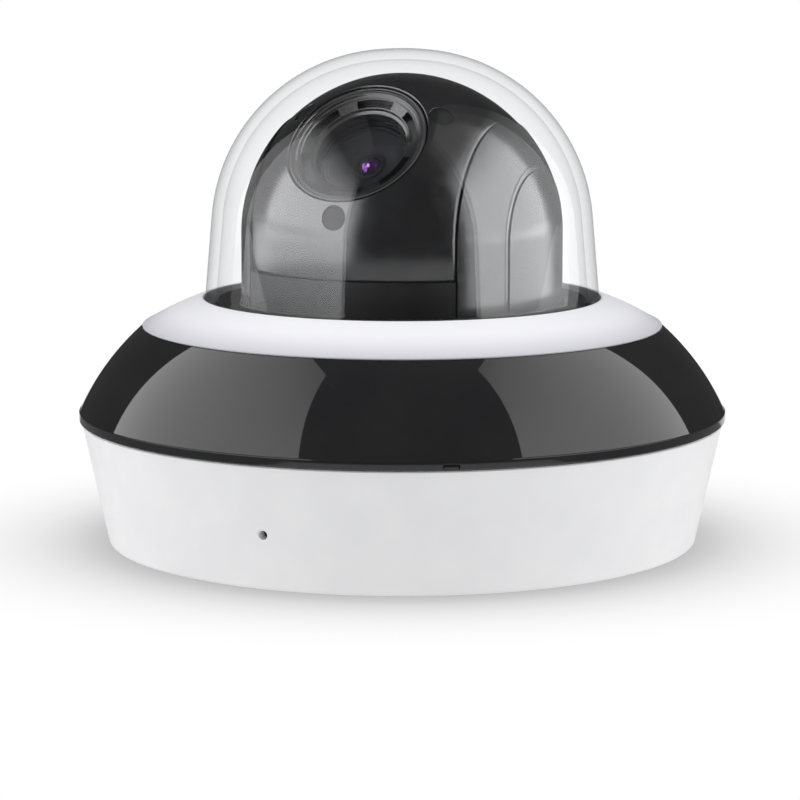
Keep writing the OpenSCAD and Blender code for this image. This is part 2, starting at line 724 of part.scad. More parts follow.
module ball_front() color("black") lens() difference() {
    ball_shell(split_z, 50);
    cylinder(h = 50, r = port_r);
    at_plugs() translate([0, 0, ball_r - plug_depth]) cylinder(h = 3, r = plug_r + 0.08);
}

module ball_rear() color("black") lens() difference() {
    ball_shell(-50, split_z - seam);
    rotate([45, 0, 0]) translate([0, 0, -40]) slab(-7, 7, -5, 5, -10, 20);
}

module screw_plugs() color("dimgray") lens() at_plugs() intersection() {
    translate([0, 0, ball_r - plug_depth]) cylinder(h = plug_depth - 0.25, r = plug_r);
    translate([0, 0, ball_r - plug_depth]) cylinder(h = plug_depth, r1 = plug_r + 0.6, r2 = plug_r - 0.4);
}

module lens_bezel() color("black") lens() difference() {
    rotate_extrude() polygon([[9.35, 23.6], [16, 23.6], [16, 25], [bezel_r, 25], [bezel_r, 28.3],
        [bezel_r - 0.15, 28.5], [bezel_r - 0.45, 28.5], [bezel_r - 0.55, 28.2], [bezel_r - 0.85, 28],
        [bezel_r - 1, 28.15], [9.9, 27.1], [9.9, 26.7], [9.35, 26.6]]);
    for (i = [0:slot_n - 1]) rotate([0, 0, i * 360 / slot_n + 90 - slot_a / 2])
        intersection() {
            translate([0, 0, window_top + 0.2]) tube(slot_in_r, slot_out_r, 5);
            translate([0, 0, window_top]) linear_extrude(6)
                polygon([[0, 0], [20, 0], [20 * cos(slot_a / 2), 20 * sin(slot_a / 2)],
                    [20 * cos(slot_a), 20 * sin(slot_a)]]);
        }
}

module front_window() color("darkslategray") lens() rotate_extrude()
    polygon(concat([[0, window_z], [window_r, window_z]], arc([window_r, 25.3], [0, window_top], 0.2, 8)));

module lens_hood() color("black") lens() rotate_extrude()
    polygon([[9.1, 23.5], [9.1, 22.9], [3.2, 18.9], [2.4, 18.9], [2.4, 19.6], [8.4, 23.5]]);

module lens_barrel() color("black") lens() difference() {
    union() {
        translate([0, 0, barrel_z]) cylinder(h = barrel_end - barrel_z, r = barrel_r);
        translate([0, 0, barrel_z]) cylinder(h = 2, r = barrel_r + 4);
    }
    translate([0, 0, barrel_z + 2]) cylinder(h = 30, r = barrel_in_r);
    translate([0, 0, barrel_z - 1]) cylinder(h = 4, r = 5);
    for (s = [-1, 1]) translate([0, s * rail_y, barrel_z - 2]) cylinder(h = 30, r = 3.7);
}

module front_lens() color("indigo") lens() intersection() {
    translate([0, 0, 13]) cylinder(h = 8, r = 9.2);
    translate([0, 0, 18.6 - 24]) sphere(r = 24);
}

// A carrier with its lens element, sliding in the barrel
module lens_group(z, h, r) lens() translate([0, 0, z]) {
    tube(r, group_r, h);
    intersection() {
        cylinder(h = h, r = r + eps);
        translate([0, 0, h - 20.2]) sphere(r = 20);
    }
}

module zoom_group() color("darkslategray") lens_group(3, 5, 6);
module focus_group() color("darkslategray") lens_group(-4.4, 3, 5);

// The infrared filter's slide, which moves across the light path behind the barrel
module ir_filter_slide() color("slategray") lens() difference() {
    slab(-11, 7, -6, 6, -10.8, -9.2);
    translate([-6, 0, -12]) cylinder(h = 4, r = 3.4);
}

module sensor_board() color("green") lens() {
    slab(-14, 14, -12, 12, sensor_z - board_t, sensor_z);
    slab(-4, 4, -3.5, 3.5, sensor_z - eps, sensor_z + 1);
    for (x = [-13, 13]) for (y = [-8, 8]) translate([x, y, sensor_z - eps])
        cylinder(h = barrel_z - sensor_z + eps, r = 1.2);
}

module tilt_shafts() color("silver") lens() {
    rotate([0, 90, 0]) translate([0, 0, 19]) {
        cylinder(h = tilt_belt_x + tilt_belt_w + 0.4 - 19, r = shaft_r);
        cylinder(h = ball_x - ball_t - 19, r = 6);
    }
    rotate([0, -90, 0]) translate([0, 0, 19]) difference() {
        union() {
            cylinder(h = 7, r = stub_r);
            cylinder(h = ball_x - ball_t - 19, r = 7.5);
        }
        translate([0, 0, -1]) cylinder(h = 10, r = 3.8);
    }
}

module tilt_pulley() color("goldenrod") lens() rotate([0, 90, 0]) translate([0, 0, tilt_belt_x])
    pulley(tilt_pulley_r, shaft_r + 0.02, tilt_belt_w, 50);

// ---- output --------------------------------------------------------------------------
mounting_plate();
base_housing();
lock_screw();
network_jack();
power_jack();
reset_button();
reset_switch();
microphone();
mic_boot();
main_board();
board_screws();
processor();
heat_sink();
card_socket();
network_magnetics();
capacitors();
chassis();
chassis_screws();
pan_motor();
motor_bracket();
pan_drive_pulley();
pan_belt();
bearing_outer_race();
bearing_balls();
bearing_inner_race();
cover_seal();
cover_band();
cover_latch();
cover_screws();
dome_floor();
dome_seal();
clear_dome();
trim_ring();
turntable();
pan_pulley();
yoke_arm_right();
yoke_arm_left();
side_cap_right();
side_cap_left();
fairing_front();
fairing_rear();
yoke_screws();
tilt_motor();
tilt_drive_pulley();
tilt_belt();
tilt_bushes();
ball_front();
ball_rear();
tilt_shafts();
tilt_pulley();
screw_plugs();
lens_bezel();
front_window();
lens_hood();
lens_barrel();
front_lens();
zoom_group();
focus_group();
ir_filter_slide();
sensor_board();
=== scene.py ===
import json
import math

import bmesh
import bpy
from mathutils import Matrix, Vector

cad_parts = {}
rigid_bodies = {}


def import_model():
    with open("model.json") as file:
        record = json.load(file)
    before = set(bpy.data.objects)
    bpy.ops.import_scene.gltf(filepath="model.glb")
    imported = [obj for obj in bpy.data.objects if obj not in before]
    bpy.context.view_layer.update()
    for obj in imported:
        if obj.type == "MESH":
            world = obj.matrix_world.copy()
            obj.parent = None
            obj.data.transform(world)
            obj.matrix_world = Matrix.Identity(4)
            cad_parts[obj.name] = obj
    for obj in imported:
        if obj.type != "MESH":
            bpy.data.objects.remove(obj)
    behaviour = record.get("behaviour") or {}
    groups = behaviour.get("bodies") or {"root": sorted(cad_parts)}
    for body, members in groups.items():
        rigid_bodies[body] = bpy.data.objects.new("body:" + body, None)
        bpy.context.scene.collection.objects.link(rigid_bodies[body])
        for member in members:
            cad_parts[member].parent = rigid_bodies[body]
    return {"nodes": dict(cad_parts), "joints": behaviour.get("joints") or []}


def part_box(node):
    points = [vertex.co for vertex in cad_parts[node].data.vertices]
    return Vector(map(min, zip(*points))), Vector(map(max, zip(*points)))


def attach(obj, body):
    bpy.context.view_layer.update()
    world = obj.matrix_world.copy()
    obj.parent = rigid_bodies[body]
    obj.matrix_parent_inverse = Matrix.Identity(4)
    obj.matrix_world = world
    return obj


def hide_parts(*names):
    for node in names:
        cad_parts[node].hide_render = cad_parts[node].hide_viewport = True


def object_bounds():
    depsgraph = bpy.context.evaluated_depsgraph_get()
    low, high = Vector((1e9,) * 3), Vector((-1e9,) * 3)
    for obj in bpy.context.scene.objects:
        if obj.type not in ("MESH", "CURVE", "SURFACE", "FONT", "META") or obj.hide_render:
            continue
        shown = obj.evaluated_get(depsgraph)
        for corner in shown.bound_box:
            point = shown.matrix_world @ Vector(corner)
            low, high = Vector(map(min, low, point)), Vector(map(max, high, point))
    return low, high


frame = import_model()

CAD_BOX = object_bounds()
MM = 0.001               # lengths below are in millimetres unless their names say otherwise
ROUND = 360              # segments round the large turned shapes
SMALL_ROUND = 96         # segments round the small ones


# ---- what the frame says ----------------------------------------------------------------
def low(node):
    """Lowest point of a CAD node."""
    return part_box(node)[0].z / MM


def top(node):
    """Highest point of a CAD node."""
    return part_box(node)[1].z / MM


def radius(node):
    """Radius of a CAD node that is turned about the Z axis."""
    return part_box(node)[1].x / MM


def joint(name):
    """A joint of the frame, by name."""
    return next(j for j in frame["joints"] if j["name"] == name)


def placing(x_axis, z_axis, origin):
    """Matrix that takes a shape drawn about its own Z axis to its place in the frame."""
    y_axis = z_axis.cross(x_axis)
    matrix = Matrix((x_axis, y_axis, z_axis)).transposed().to_4x4()
    return Matrix.Translation(origin) @ matrix


UP = Vector((0, 0, 1))
TILT_AXIS = -Vector(joint("tilt")["axis"])
TILT_CENTRE = Vector(joint("tilt")["pos_m"])
LENS_AXIS = Vector(joint("zoom")["axis"])
HEAD = placing(TILT_AXIS, UP, (0, 0, 0))
LENS = placing(TILT_AXIS, LENS_AXIS, TILT_CENTRE)
TILT = placing(LENS_AXIS, TILT_AXIS, TILT_CENTRE)

BALL_Z = TILT_CENTRE.z / MM
ARM_R = 32.5             # yoke arms: column and round top
BALL_R = 32.15
ARM_IN, ARM_OUT = 22.5, 29.2    # inner and outer faces of an arm, from the head's middle
SEAM = 0.15              # gap between neighbouring mouldings


# ---- outlines -----------------------------------------------------------------------------
def arc(start, end, sag, steps=24):
    """Points from start to end, bulging by sag to the right of the way they go."""
    along = Vector(end) - Vector(start)
    side = Vector((along.y, -along.x)).normalized()
    ts = [i / steps for i in range(steps + 1)]
    return [tuple(Vector(start) + along * t + side * sag * 4 * t * (1 - t)) for t in ts]


def circle_arc(centre, size, first, last, steps=32):
    """Points on a circle, between two angles in degrees."""
    angles = [math.radians(first + (last - first) * i / steps) for i in range(steps + 1)]
    return [(centre[0] + size * math.cos(a), centre[1] + size * math.sin(a)) for a in angles]


def rounded(points, steps=5):
    """A closed outline. A point with a third number is a corner, rounded to that radius."""
    result = []
    for i, point in enumerate(points):
        if len(point) == 2:
            result.append(tuple(point))
            continue
        corner, size = Vector(point[:2]), point[2]
        before = (Vector(points[i - 1][:2]) - corner).normalized()
        after = (Vector(points[(i + 1) % len(points)][:2]) - corner).normalized()
        half = before.angle(after) / 2
        centre = corner + (before + after).normalized() * size / math.sin(half)
        reach = size / math.tan(half)
        start, end = corner + before * reach - centre, corner + after * reach - centre
        for k in range(steps + 1):
            spoke = start.lerp(end, k / steps).normalized() * size
            result.append(tuple(centre + spoke))
    return result


def split(start, end, parts):
    """Points that divide a straight line, without its end."""
    return [tuple(Vector(start).lerp(Vector(end), i / parts)) for i in range(parts)]


# ---- meshes -------------------------------------------------------------------------------
def add_object(name, data):
    """Puts a mesh, a lamp or a camera into the scene."""
    obj = bpy.data.objects.new(name, data)
    bpy.context.scene.collection.objects.link(obj)
    return obj


def to_mesh(name, bm):
    """Turns a bmesh into a mesh and frees it."""
    mesh = bpy.data.meshes.new(name)
    bm.to_mesh(mesh)
    bm.free()
    return mesh


def new_object(name, bm, place=None, sharp=28):
    """Closes a bmesh into an object in metres, smooth but for edges over sharp degrees."""
    bmesh.ops.remove_doubles(bm, verts=bm.verts, dist=1e-7)
    bmesh.ops.recalc_face_normals(bm, faces=bm.faces)
    mesh = to_mesh(name, bm)
    mesh.transform((place or Matrix.Identity(4)) @ Matrix.Scale(MM, 4))
    obj = add_object(name, mesh)
    smooth(obj, sharp)
    return obj


def smooth(obj, sharp=28):
    """Shades an object smooth, with creases where it turns by more than sharp degrees."""
    obj.data.shade_smooth()
    obj.data.set_sharp_from_angle(angle=math.radians(sharp))


def close_ends(bm):
    """Puts a face over each open end of a swept shape."""
    bmesh.ops.holes_fill(bm, edges=[e for e in bm.edges if e.is_boundary], sides=0)


def skin(bm, rows, wrap=True):
    """Faces between neighbouring rows of vertices. A row may be one vertex."""
    for a, b in zip(rows, rows[1:] + rows[:1]):
        count = max(len(a), len(b))
        if count == 1:
            continue
        for k in range(count if wrap else count - 1):
            n = (k + 1) % count
            corners = [a[k % len(a)], a[n % len(a)], b[n % len(b)], b[k % len(b)]]
            unique = list(dict.fromkeys(corners))
            if len(unique) > 2:
                bm.faces.new(unique)


def lathe(name, outline, place=None, segments=ROUND, sharp=28):
    """Turns a closed outline of (radius, height) points about the Z axis."""
    bm = bmesh.new()
    turns = [2 * math.pi * k / segments for k in range(segments)]
    rows = []
    for r, z in outline:
        if r < 1e-6:
            rows.append([bm.verts.new((0, 0, z))])
        else:
            rows.append([bm.verts.new((r * math.cos(a), r * math.sin(a), z)) for a in turns])
    skin(bm, rows)
    return new_object(name, bm, place, sharp)


def arch(name, outline, foot_z, place, steps=96, legs=12):
    """Sweeps a closed outline of (x, radius) points along an arch: two legs and a half turn.

    It draws what stands on a round column whose top is a ball: a slice of it at one x is an
    arch, as wide as the column is there."""
    bm = bmesh.new()
    rows = []
    for x, r in outline:
        left = [(x, -r, foot_z + (BALL_Z - foot_z) * i / legs) for i in range(legs)]
        turns = [math.pi * i / steps for i in range(steps + 1)]
        crown = [(x, -r * math.cos(a), BALL_Z + r * math.sin(a)) for a in turns]
        right = [(x, -y, z) for x, y, z in reversed(left)]
        rows.append([bm.verts.new(p) for p in left + crown + right])
    skin(bm, rows, wrap=False)
    bmesh.ops.remove_doubles(bm, verts=bm.verts, dist=1e-6)
    close_ends(bm)
    return new_object(name, bm, place)


def block(name, lowest, highest, bevel=0.0, place=None, segments=3):
    """A box with rounded edges."""
    bm = bmesh.new()
    bmesh.ops.create_cube(bm, size=1)
    size = Vector(highest) - Vector(lowest)
    middle = (Vector(highest) + Vector(lowest)) / 2
    bmesh.ops.scale(bm, vec=size, verts=bm.verts)
    bmesh.ops.translate(bm, vec=middle, verts=bm.verts)
    if bevel:
        bmesh.ops.bevel(bm, geom=bm.edges[:], offset=bevel, segments=segments, affect="EDGES",
                        profile=0.5)
    return new_object(name, bm, place, sharp=40)


def apply_modifiers(obj):
    """Turns an object's modifiers into plain mesh."""
    deps = bpy.context.evaluated_depsgraph_get()
    mesh = bpy.data.meshes.new_from_object(obj.evaluated_get(deps))
    obj.modifiers.clear()
    obj.data = mesh


def carve(obj, cutters, operation="DIFFERENCE", sharp=28):
    """Cuts obj with each cutter, or joins or meets them, and removes the cutters."""
    for cutter in cutters:
        modifier = obj.modifiers.new("carve", "BOOLEAN")
        modifier.object = cutter
        modifier.operation = operation
        modifier.solver = "EXACT"
    apply_modifiers(obj)
    for cutter in cutters:
        bpy.data.objects.remove(cutter)
    smooth(obj, sharp)
    return obj


def polar(angle, distance, height=0.0):
    """A place at an angle in degrees and a distance from the Z axis, facing outwards."""
    turn = Matrix.Rotation(math.radians(angle), 4, "Z")
    outwards = Matrix.Rotation(math.radians(90), 4, "Y")
    return turn @ Matrix.Translation((distance * MM, 0, height * MM)) @ outwards


def drill(size, start, end, place, flare=0.0, flare_at=0.0, segments=48):
    """A cutter for a round hole along the Z axis, with a chamfer at flare_at."""
    outline = [(0, start), (size, start)]
    if flare:
        outline += [(size, flare_at - flare), (size + 2 * flare, flare_at + flare),
                    (size + 2 * flare, end)]
    else:
        outline += [(size, end)]
    return lathe("drill", outline + [(0, end)], place, segments)


# ---- shader nodes -------------------------------------------------------------------------
class Graph:
    """The shader nodes of a material, a lamp or the world."""

    def __init__(self, owner):
        owner.use_nodes = True
        self.tree = owner.node_tree

    def fill(self, socket, value):
        """Gives a socket a value, or a link where the value is a node's output."""
        if isinstance(value, bpy.types.NodeSocket):
            self.tree.links.new(value, socket)
        else:
            socket.default_value = value

    def node(self, kind, **values):
        """Adds a node and fills the sockets that are named, with _ for each space."""
        node = self.tree.nodes.new(kind)
        for name, value in values.items():
            self.fill(node.inputs[name.replace("_", " ")], value)
        return node

    def calculate(self, operation, first, second=0.0):
        """The result of a Math node."""
        node = self.node("ShaderNodeMath")
        node.operation = operation
        self.fill(node.inputs[0], first)
        self.fill(node.inputs[1], second)
        return node.outputs[0]

    def length(self, vector):
        """The length of a vector."""
        node = self.node("ShaderNodeVectorMath", Vector=vector)
        node.operation = "LENGTH"
        return node.outputs["Value"]

    def parts(self, vector):
        """The X, Y and Z of a vector."""
        return tuple(self.node("ShaderNodeSeparateXYZ", Vector=vector).outputs)

    def spread(self, source, start, end, first=0.0, last=1.0, soft=False):
        """A number that goes from first to last as source goes from start to end."""
        node = self.node("ShaderNodeMapRange", Value=source, From_Min=start, From_Max=end,
                         To_Min=first, To_Max=last)
        node.interpolation_type = "SMOOTHSTEP" if soft else "LINEAR"
        return node.outputs["Result"]

    def choose(self, factor, first, second):
        """One number where factor is 0, the other where it's 1 or more."""
        node = self.node("ShaderNodeMix")
        node.data_type = "FLOAT"
        for index, value in ((0, factor), (2, first), (3, second)):
            self.fill(node.inputs[index], value)
        return node.outputs[0]

    def ramp(self, source, stops):
        """Colours or greys along source, as (place, colour) stops."""
        node = self.node("ShaderNodeValToRGB", Fac=source)
        elements = node.color_ramp.elements
        while len(elements) < len(stops):
            elements.new(0.5)
        for element, (where, colour) in zip(elements, stops):
            element.position = where
            element.color = (*colour, 1)
        return node.outputs["Color"]

    def mix(self, factor, first, second):
        """One shader where factor is 0, the other where it's 1."""
        node = self.node("ShaderNodeMixShader")
        for socket, value in zip(node.inputs, (factor, first, second)):
            self.fill(socket, value)
        return node.outputs["Shader"]

    def emission(self, strength):
        """White light of its own."""
        white = (1, 1, 1, 1)
        node = self.node("ShaderNodeEmission", Color=white, Strength=strength)
        return node.outputs["Emission"]


# ---- materials ----------------------------------------------------------------------------
class Look(Graph):
    """A procedural material: one Principled shader and the nodes that vary it."""

    def __init__(self, name, **sockets):
        self.material = bpy.data.materials.new(name)
        super().__init__(self.material)
        self.shader = self.tree.nodes["Principled BSDF"]
        for socket, value in sockets.items():
            if socket.endswith(("Color", "Tint")):
                value = (*value, 1)
            self.shader.inputs[socket.replace("_", " ")].default_value = value
        self.place = self.node("ShaderNodeTexCoord").outputs["Object"]

    def drive(self, socket, source):
        """Links source to a socket of the Principled shader."""
        self.fill(self.shader.inputs[socket], source)

    def noise(self, size, detail=3.0, rough=0.5, stretch=None):
        """Noise with features of about size millimetres."""
        place = self.place
        if stretch:
            place = self.node("ShaderNodeMapping", Vector=place, Scale=stretch).outputs["Vector"]
        node = self.node("ShaderNodeTexNoise", Vector=place, Scale=1 / (size * MM),
                         Detail=detail, Roughness=rough)
        return node.outputs["Fac"]

    def cells(self, size, feature="F1", output="Distance"):
        """Cells about size millimetres across."""
        node = self.node("ShaderNodeTexVoronoi", Vector=self.place, Scale=1 / (size * MM))
        node.feature = feature
        return node.outputs[output]

    def vary(self, socket, source, lowest, highest, first=0.3, last=0.7):
        """Drives a number socket from lowest to highest as source goes from first to last."""
        self.drive(socket, self.spread(source, first, last, lowest, highest))

    def tint(self, source, first, second, start=0.35, end=0.65):
        """Drives the colour from first to second as source goes from start to end."""
        self.drive("Base Color", self.ramp(source, [(start, first), (end, second)]))

    def bump(self, source, depth, strength=1.0):
        """Raises the surface by up to depth millimetres."""
        node = self.node("ShaderNodeBump", Height=source, Strength=strength,
                         Distance=depth * MM)
        self.drive("Normal", node.outputs["Normal"])


def white_plastic():
    """Spark-eroded satin moulding of the base."""
    look = Look("white_plastic", Specular_IOR_Level=0.2)
    look.tint(look.noise(9, 4), (0.82, 0.82, 0.832), (0.845, 0.845, 0.855))
    look.vary("Roughness", look.noise(2.5, 4), 0.42, 0.56)
    look.bump(look.noise(0.55, 4, 0.6), 0.018, 0.5)
    return look.material


def pearl_plastic():
    """Pearl paint of the pale ring, with fine flakes, and painted shade that darkens it towards
    the outer edge.
    """
    look = Look("pearl_plastic", Metallic=0.06, Specular_IOR_Level=0.3, Coat_Weight=0.06,
                Coat_Roughness=0.3)
    inner_m, outer_m = 0.040, 0.053
    flat = look.node("ShaderNodeMapping", Vector=look.place, Scale=(1, 1, 0))
    shade_share = look.spread(look.length(flat.outputs["Vector"]), inner_m, outer_m)
    # Painted shade: the base colour darkens from the ring's inner edge to its outer edge.
    look.drive("Base Color", look.ramp(shade_share, [(0.0, (0.82, 0.82, 0.85)),
                                                (0.46, (0.78, 0.78, 0.815)),
                                                (0.65, (0.71, 0.71, 0.75)),
                                                (0.9, (0.57, 0.57, 0.61)),
                                                (1.0, (0.52, 0.52, 0.56))]))
    look.vary("Roughness", look.cells(0.16, output="Color"), 0.36, 0.42, 0.0, 1.0)
    look.bump(look.noise(0.4, 3), 0.004, 0.3)
    return look.material


def black_gloss():
    """Piano-black band: polished, with a trace of orange peel and of wiping marks."""
    look = Look("black_gloss", IOR=1.5)
    look.tint(look.noise(15, 3), (0.014, 0.014, 0.015), (0.017, 0.017, 0.018))
    look.vary("Roughness", look.noise(3, 5, 0.65, (1, 1, 0.25)), 0.012, 0.035)
    look.bump(look.noise(3.5, 2), 0.0012, 0.6)
    return look.material


def clear_film(look, facing_on, edge_on, tint, edge_tint):
    """Makes look a clear sheet: it mirrors a little, more at a slant, and shows what is behind.

    Seen at a slant it is darker too, as the way through it is longer. Faces whose inner_face
    attribute is 1 do both less."""
    slant = look.node("ShaderNodeLayerWeight", Blend=0.5).outputs["Facing"]
    inner = look.node("ShaderNodeAttribute")
    inner.attribute_name = "inner_face"
    limit = look.spread(inner.outputs["Fac"], 0.0, 1.0, 1.0, 0.3)
    edge = look.calculate("MULTIPLY", look.calculate("POWER", slant, 5.0), limit)
    clear = look.node("ShaderNodeBsdfTransparent",
                      Color=look.ramp(edge, [(0.0, tint), (0.9, edge_tint)]))
    shown = look.mix(look.spread(edge, 0.0, 1.0, facing_on, edge_on), clear.outputs["BSDF"],
                     look.shader.outputs["BSDF"])
    look.fill(look.tree.nodes["Material Output"].inputs["Surface"], shown)
    return look.material


def clear_dome():
    """Clear polycarbonate with hard polished faces."""
    look = Look("clear_dome", Base_Color=(0.99, 0.99, 1.0), Metallic=1.0)
    look.vary("Roughness", look.noise(20, 3), 0.0, 0.012)
    return clear_film(look, 0.025, 0.28, (0.992, 0.994, 0.997), (0.76, 0.765, 0.77))


def black_satin():
    """Fine satin moulding of the camera head."""
    look = Look("black_satin", IOR=1.79)
    look.tint(look.noise(8, 4), (0.010, 0.010, 0.011), (0.015, 0.015, 0.016))
    look.vary("Roughness", look.noise(2, 4), 0.16, 0.24)
    look.bump(look.noise(0.35, 3), 0.004, 0.4)
    return look.material


def black_matte():
    """Unpolished moulding inside the lens and under the dome."""
    look = Look("black_matte", IOR=1.3)
    look.tint(look.noise(5, 4), (0.008, 0.008, 0.009), (0.012, 0.012, 0.013))
    look.vary("Roughness", look.noise(1.5, 4), 0.45, 0.6)
    look.bump(look.noise(0.3, 4), 0.01, 0.5)
    return look.material


def plug_plastic():
    """Soft plastic of the screw plugs."""
    look = Look("plug_plastic", IOR=1.3)
    look.tint(look.noise(1.5, 4), (0.006, 0.006, 0.0065), (0.009, 0.009, 0.0095))
    look.vary("Roughness", look.noise(0.8, 4), 0.5, 0.65)
    look.bump(look.noise(0.25, 3), 0.01, 0.5)
    return look.material


def window_glass():
    """Polished front window with a faint coating."""
    look = Look("window_glass", Base_Color=(0.96, 0.96, 1.0), Metallic=1.0)
    look.vary("Roughness", look.noise(4, 3), 0.0, 0.02)
    return clear_film(look, 0.022, 0.7, (0.93, 0.935, 0.96), (0.80, 0.81, 0.85))


def lens_glass():
    """Coated lens element: dark glass whose coating shines violet."""
    look = Look("lens_glass", IOR=2.1, Specular_Tint=(0.75, 0.16, 1.0), Coat_Weight=0.7,
                Coat_Roughness=0.02, Coat_IOR=1.45)
    look.tint(look.noise(2, 3), (0.020, 0.003, 0.035), (0.045, 0.006, 0.075))
    look.vary("Roughness", look.noise(1, 3), 0.03, 0.06)
    return look.material


def rubber():
    """Grey rubber of seals, belts and the microphone's boot."""
    look = Look("rubber", IOR=1.45)
    look.tint(look.noise(3, 4), (0.17, 0.17, 0.175), (0.22, 0.22, 0.225))
    look.vary("Roughness", look.noise(1, 4), 0.65, 0.8)
    look.bump(look.noise(0.4, 3), 0.02, 0.5)
    return look.material


def metal(name, dark, light, rough, grain):
    """Bare metal with a drawn or tumbled grain."""
    look = Look(name, Metallic=1.0)
    look.tint(look.noise(grain, 5, 0.6, (1, 1, 6)), dark, light)
    look.vary("Roughness", look.noise(grain / 2, 4), rough, rough + 0.14)
    look.bump(look.noise(grain / 3, 3), 0.006, 0.4)
    return look.material


def circuit_board():
    """Solder mask with tracks that show through, and pads."""
    look = Look("circuit_board", Coat_Weight=0.4, Coat_Roughness=0.2)
    tracks = look.cells(1.8, "DISTANCE_TO_EDGE")
    look.drive("Base Color", look.ramp(tracks, [(0.0, (0.035, 0.16, 0.06)),
                                                (0.08, (0.012, 0.085, 0.03)),
                                                (0.6, (0.010, 0.07, 0.026))]))
    look.vary("Roughness", look.noise(1, 3), 0.32, 0.45)
    look.bump(tracks, 0.03, 0.4)
    return look.material


def chip_black():
    """Moulded black of chips and switches."""
    look = Look("chip_black", IOR=1.5)
    look.tint(look.noise(1.2, 5), (0.018, 0.018, 0.019), (0.030, 0.030, 0.031))
    look.vary("Roughness", look.noise(0.6, 4), 0.5, 0.7)
    look.bump(look.noise(0.15, 3), 0.008, 0.5)
    return look.material


def grey_plastic():
    """Grey moulding of the inner parts."""
    look = Look("grey_plastic", IOR=1.46)
    look.tint(look.noise(4, 4), (0.20, 0.20, 0.205), (0.25, 0.25, 0.255))
    look.vary("Roughness", look.noise(1.5, 4), 0.45, 0.6)
    look.bump(look.noise(0.3, 3), 0.008, 0.5)
    return look.material


def filter_glass():
    """The infrared filter's glass: near black, with a red-violet sheen."""
    look = Look("filter_glass", Specular_Tint=(1.0, 0.5, 0.75), IOR=1.7)
    look.tint(look.noise(3, 2), (0.018, 0.020, 0.030), (0.024, 0.027, 0.040))
    look.vary("Roughness", look.noise(1, 2), 0.05, 0.1)
    return look.material


LOOKS = {
    "white_plastic": white_plastic(),
    "pearl_plastic": pearl_plastic(),
    "black_gloss": black_gloss(),
    "clear_dome": clear_dome(),
    "black_satin": black_satin(),
    "black_matte": black_matte(),
    "plug_plastic": plug_plastic(),
    "window_glass": window_glass(),
    "lens_glass": lens_glass(),
    "rubber": rubber(),
    "steel": metal("steel", (0.50, 0.50, 0.51), (0.62, 0.62, 0.63), 0.28, 1.5),
    "aluminium": metal("aluminium", (0.66, 0.67, 0.68), (0.78, 0.78, 0.79), 0.34, 1.0),
    "motor_metal": metal("motor_metal", (0.30, 0.30, 0.31), (0.38, 0.38, 0.39), 0.36, 2.0),
    "brass": metal("brass", (0.62, 0.43, 0.17), (0.76, 0.54, 0.23), 0.26, 1.2),
    "circuit_board": circuit_board(),
    "chip_black": chip_black(),
    "grey_plastic": grey_plastic(),
    "filter_glass": filter_glass(),
}


def piece(obj, body, slot, *nodes):
    """Finishes a piece: its material, the body it rides on and the CAD nodes it stands for."""
    obj.data.materials.clear()
    obj.data.materials.append(LOOKS[slot])
    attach(obj, body)
    if nodes:
        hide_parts(*nodes)
    return obj


def paint_frame():
    """Gives every CAD node that stays the material of its slot."""
    for node in frame["nodes"].values():
        for place in node.material_slots:
            place.material = LOOKS[place.material.name.split(".")[0]]


# ---- base ---------------------------------------------------------------------------------
FOOT_R = 59.8            # base at the mounting face
BASE_H = top("base_housing")
RIM_R = radius("base_housing")
BAY_HALF, BAY_FRONT, BAY_TOP = 17, 45, 13    # connector bay: half width, front wall, ceiling


def block_in_base(lowest, highest, inset):
    """A block, cut off where it would come nearer than inset to the base's outer face."""
    foot = FOOT_R - inset
    inside = lathe("inside", [(0, -2), (foot, -2), (foot, 0.7), (RIM_R - inset, BASE_H),
                              (0, BASE_H)])
    return carve(block("bay", lowest, highest), [inside], "INTERSECT")


def base_outline():
    """The base's flared wall, its floor, and the recess for the mounting plate."""
    chamfer = 0.25
    wall_top = BASE_H - chamfer
    floor_low, floor_high = 2.2, 4.4
    recess_r, groove_r, rim_in_r = 56.6, 57.9, 62.5
    outline = [(0, floor_low), (recess_r, floor_low), (recess_r, 1.9), (groove_r, 1.9),
               (groove_r, 0.7), (recess_r, 0.7), (recess_r, 0, 0.2), (FOOT_R, 0, 0.7)]
    outline += split((FOOT_R + 0.22, 1), (RIM_R, wall_top), 10)
    outline += [(RIM_R, wall_top), (RIM_R - chamfer, BASE_H), (rim_in_r, BASE_H),
                (rim_in_r, 22.7), (62.3, 22.7), (58.35, floor_high), (0, floor_high)]
    return rounded(outline)


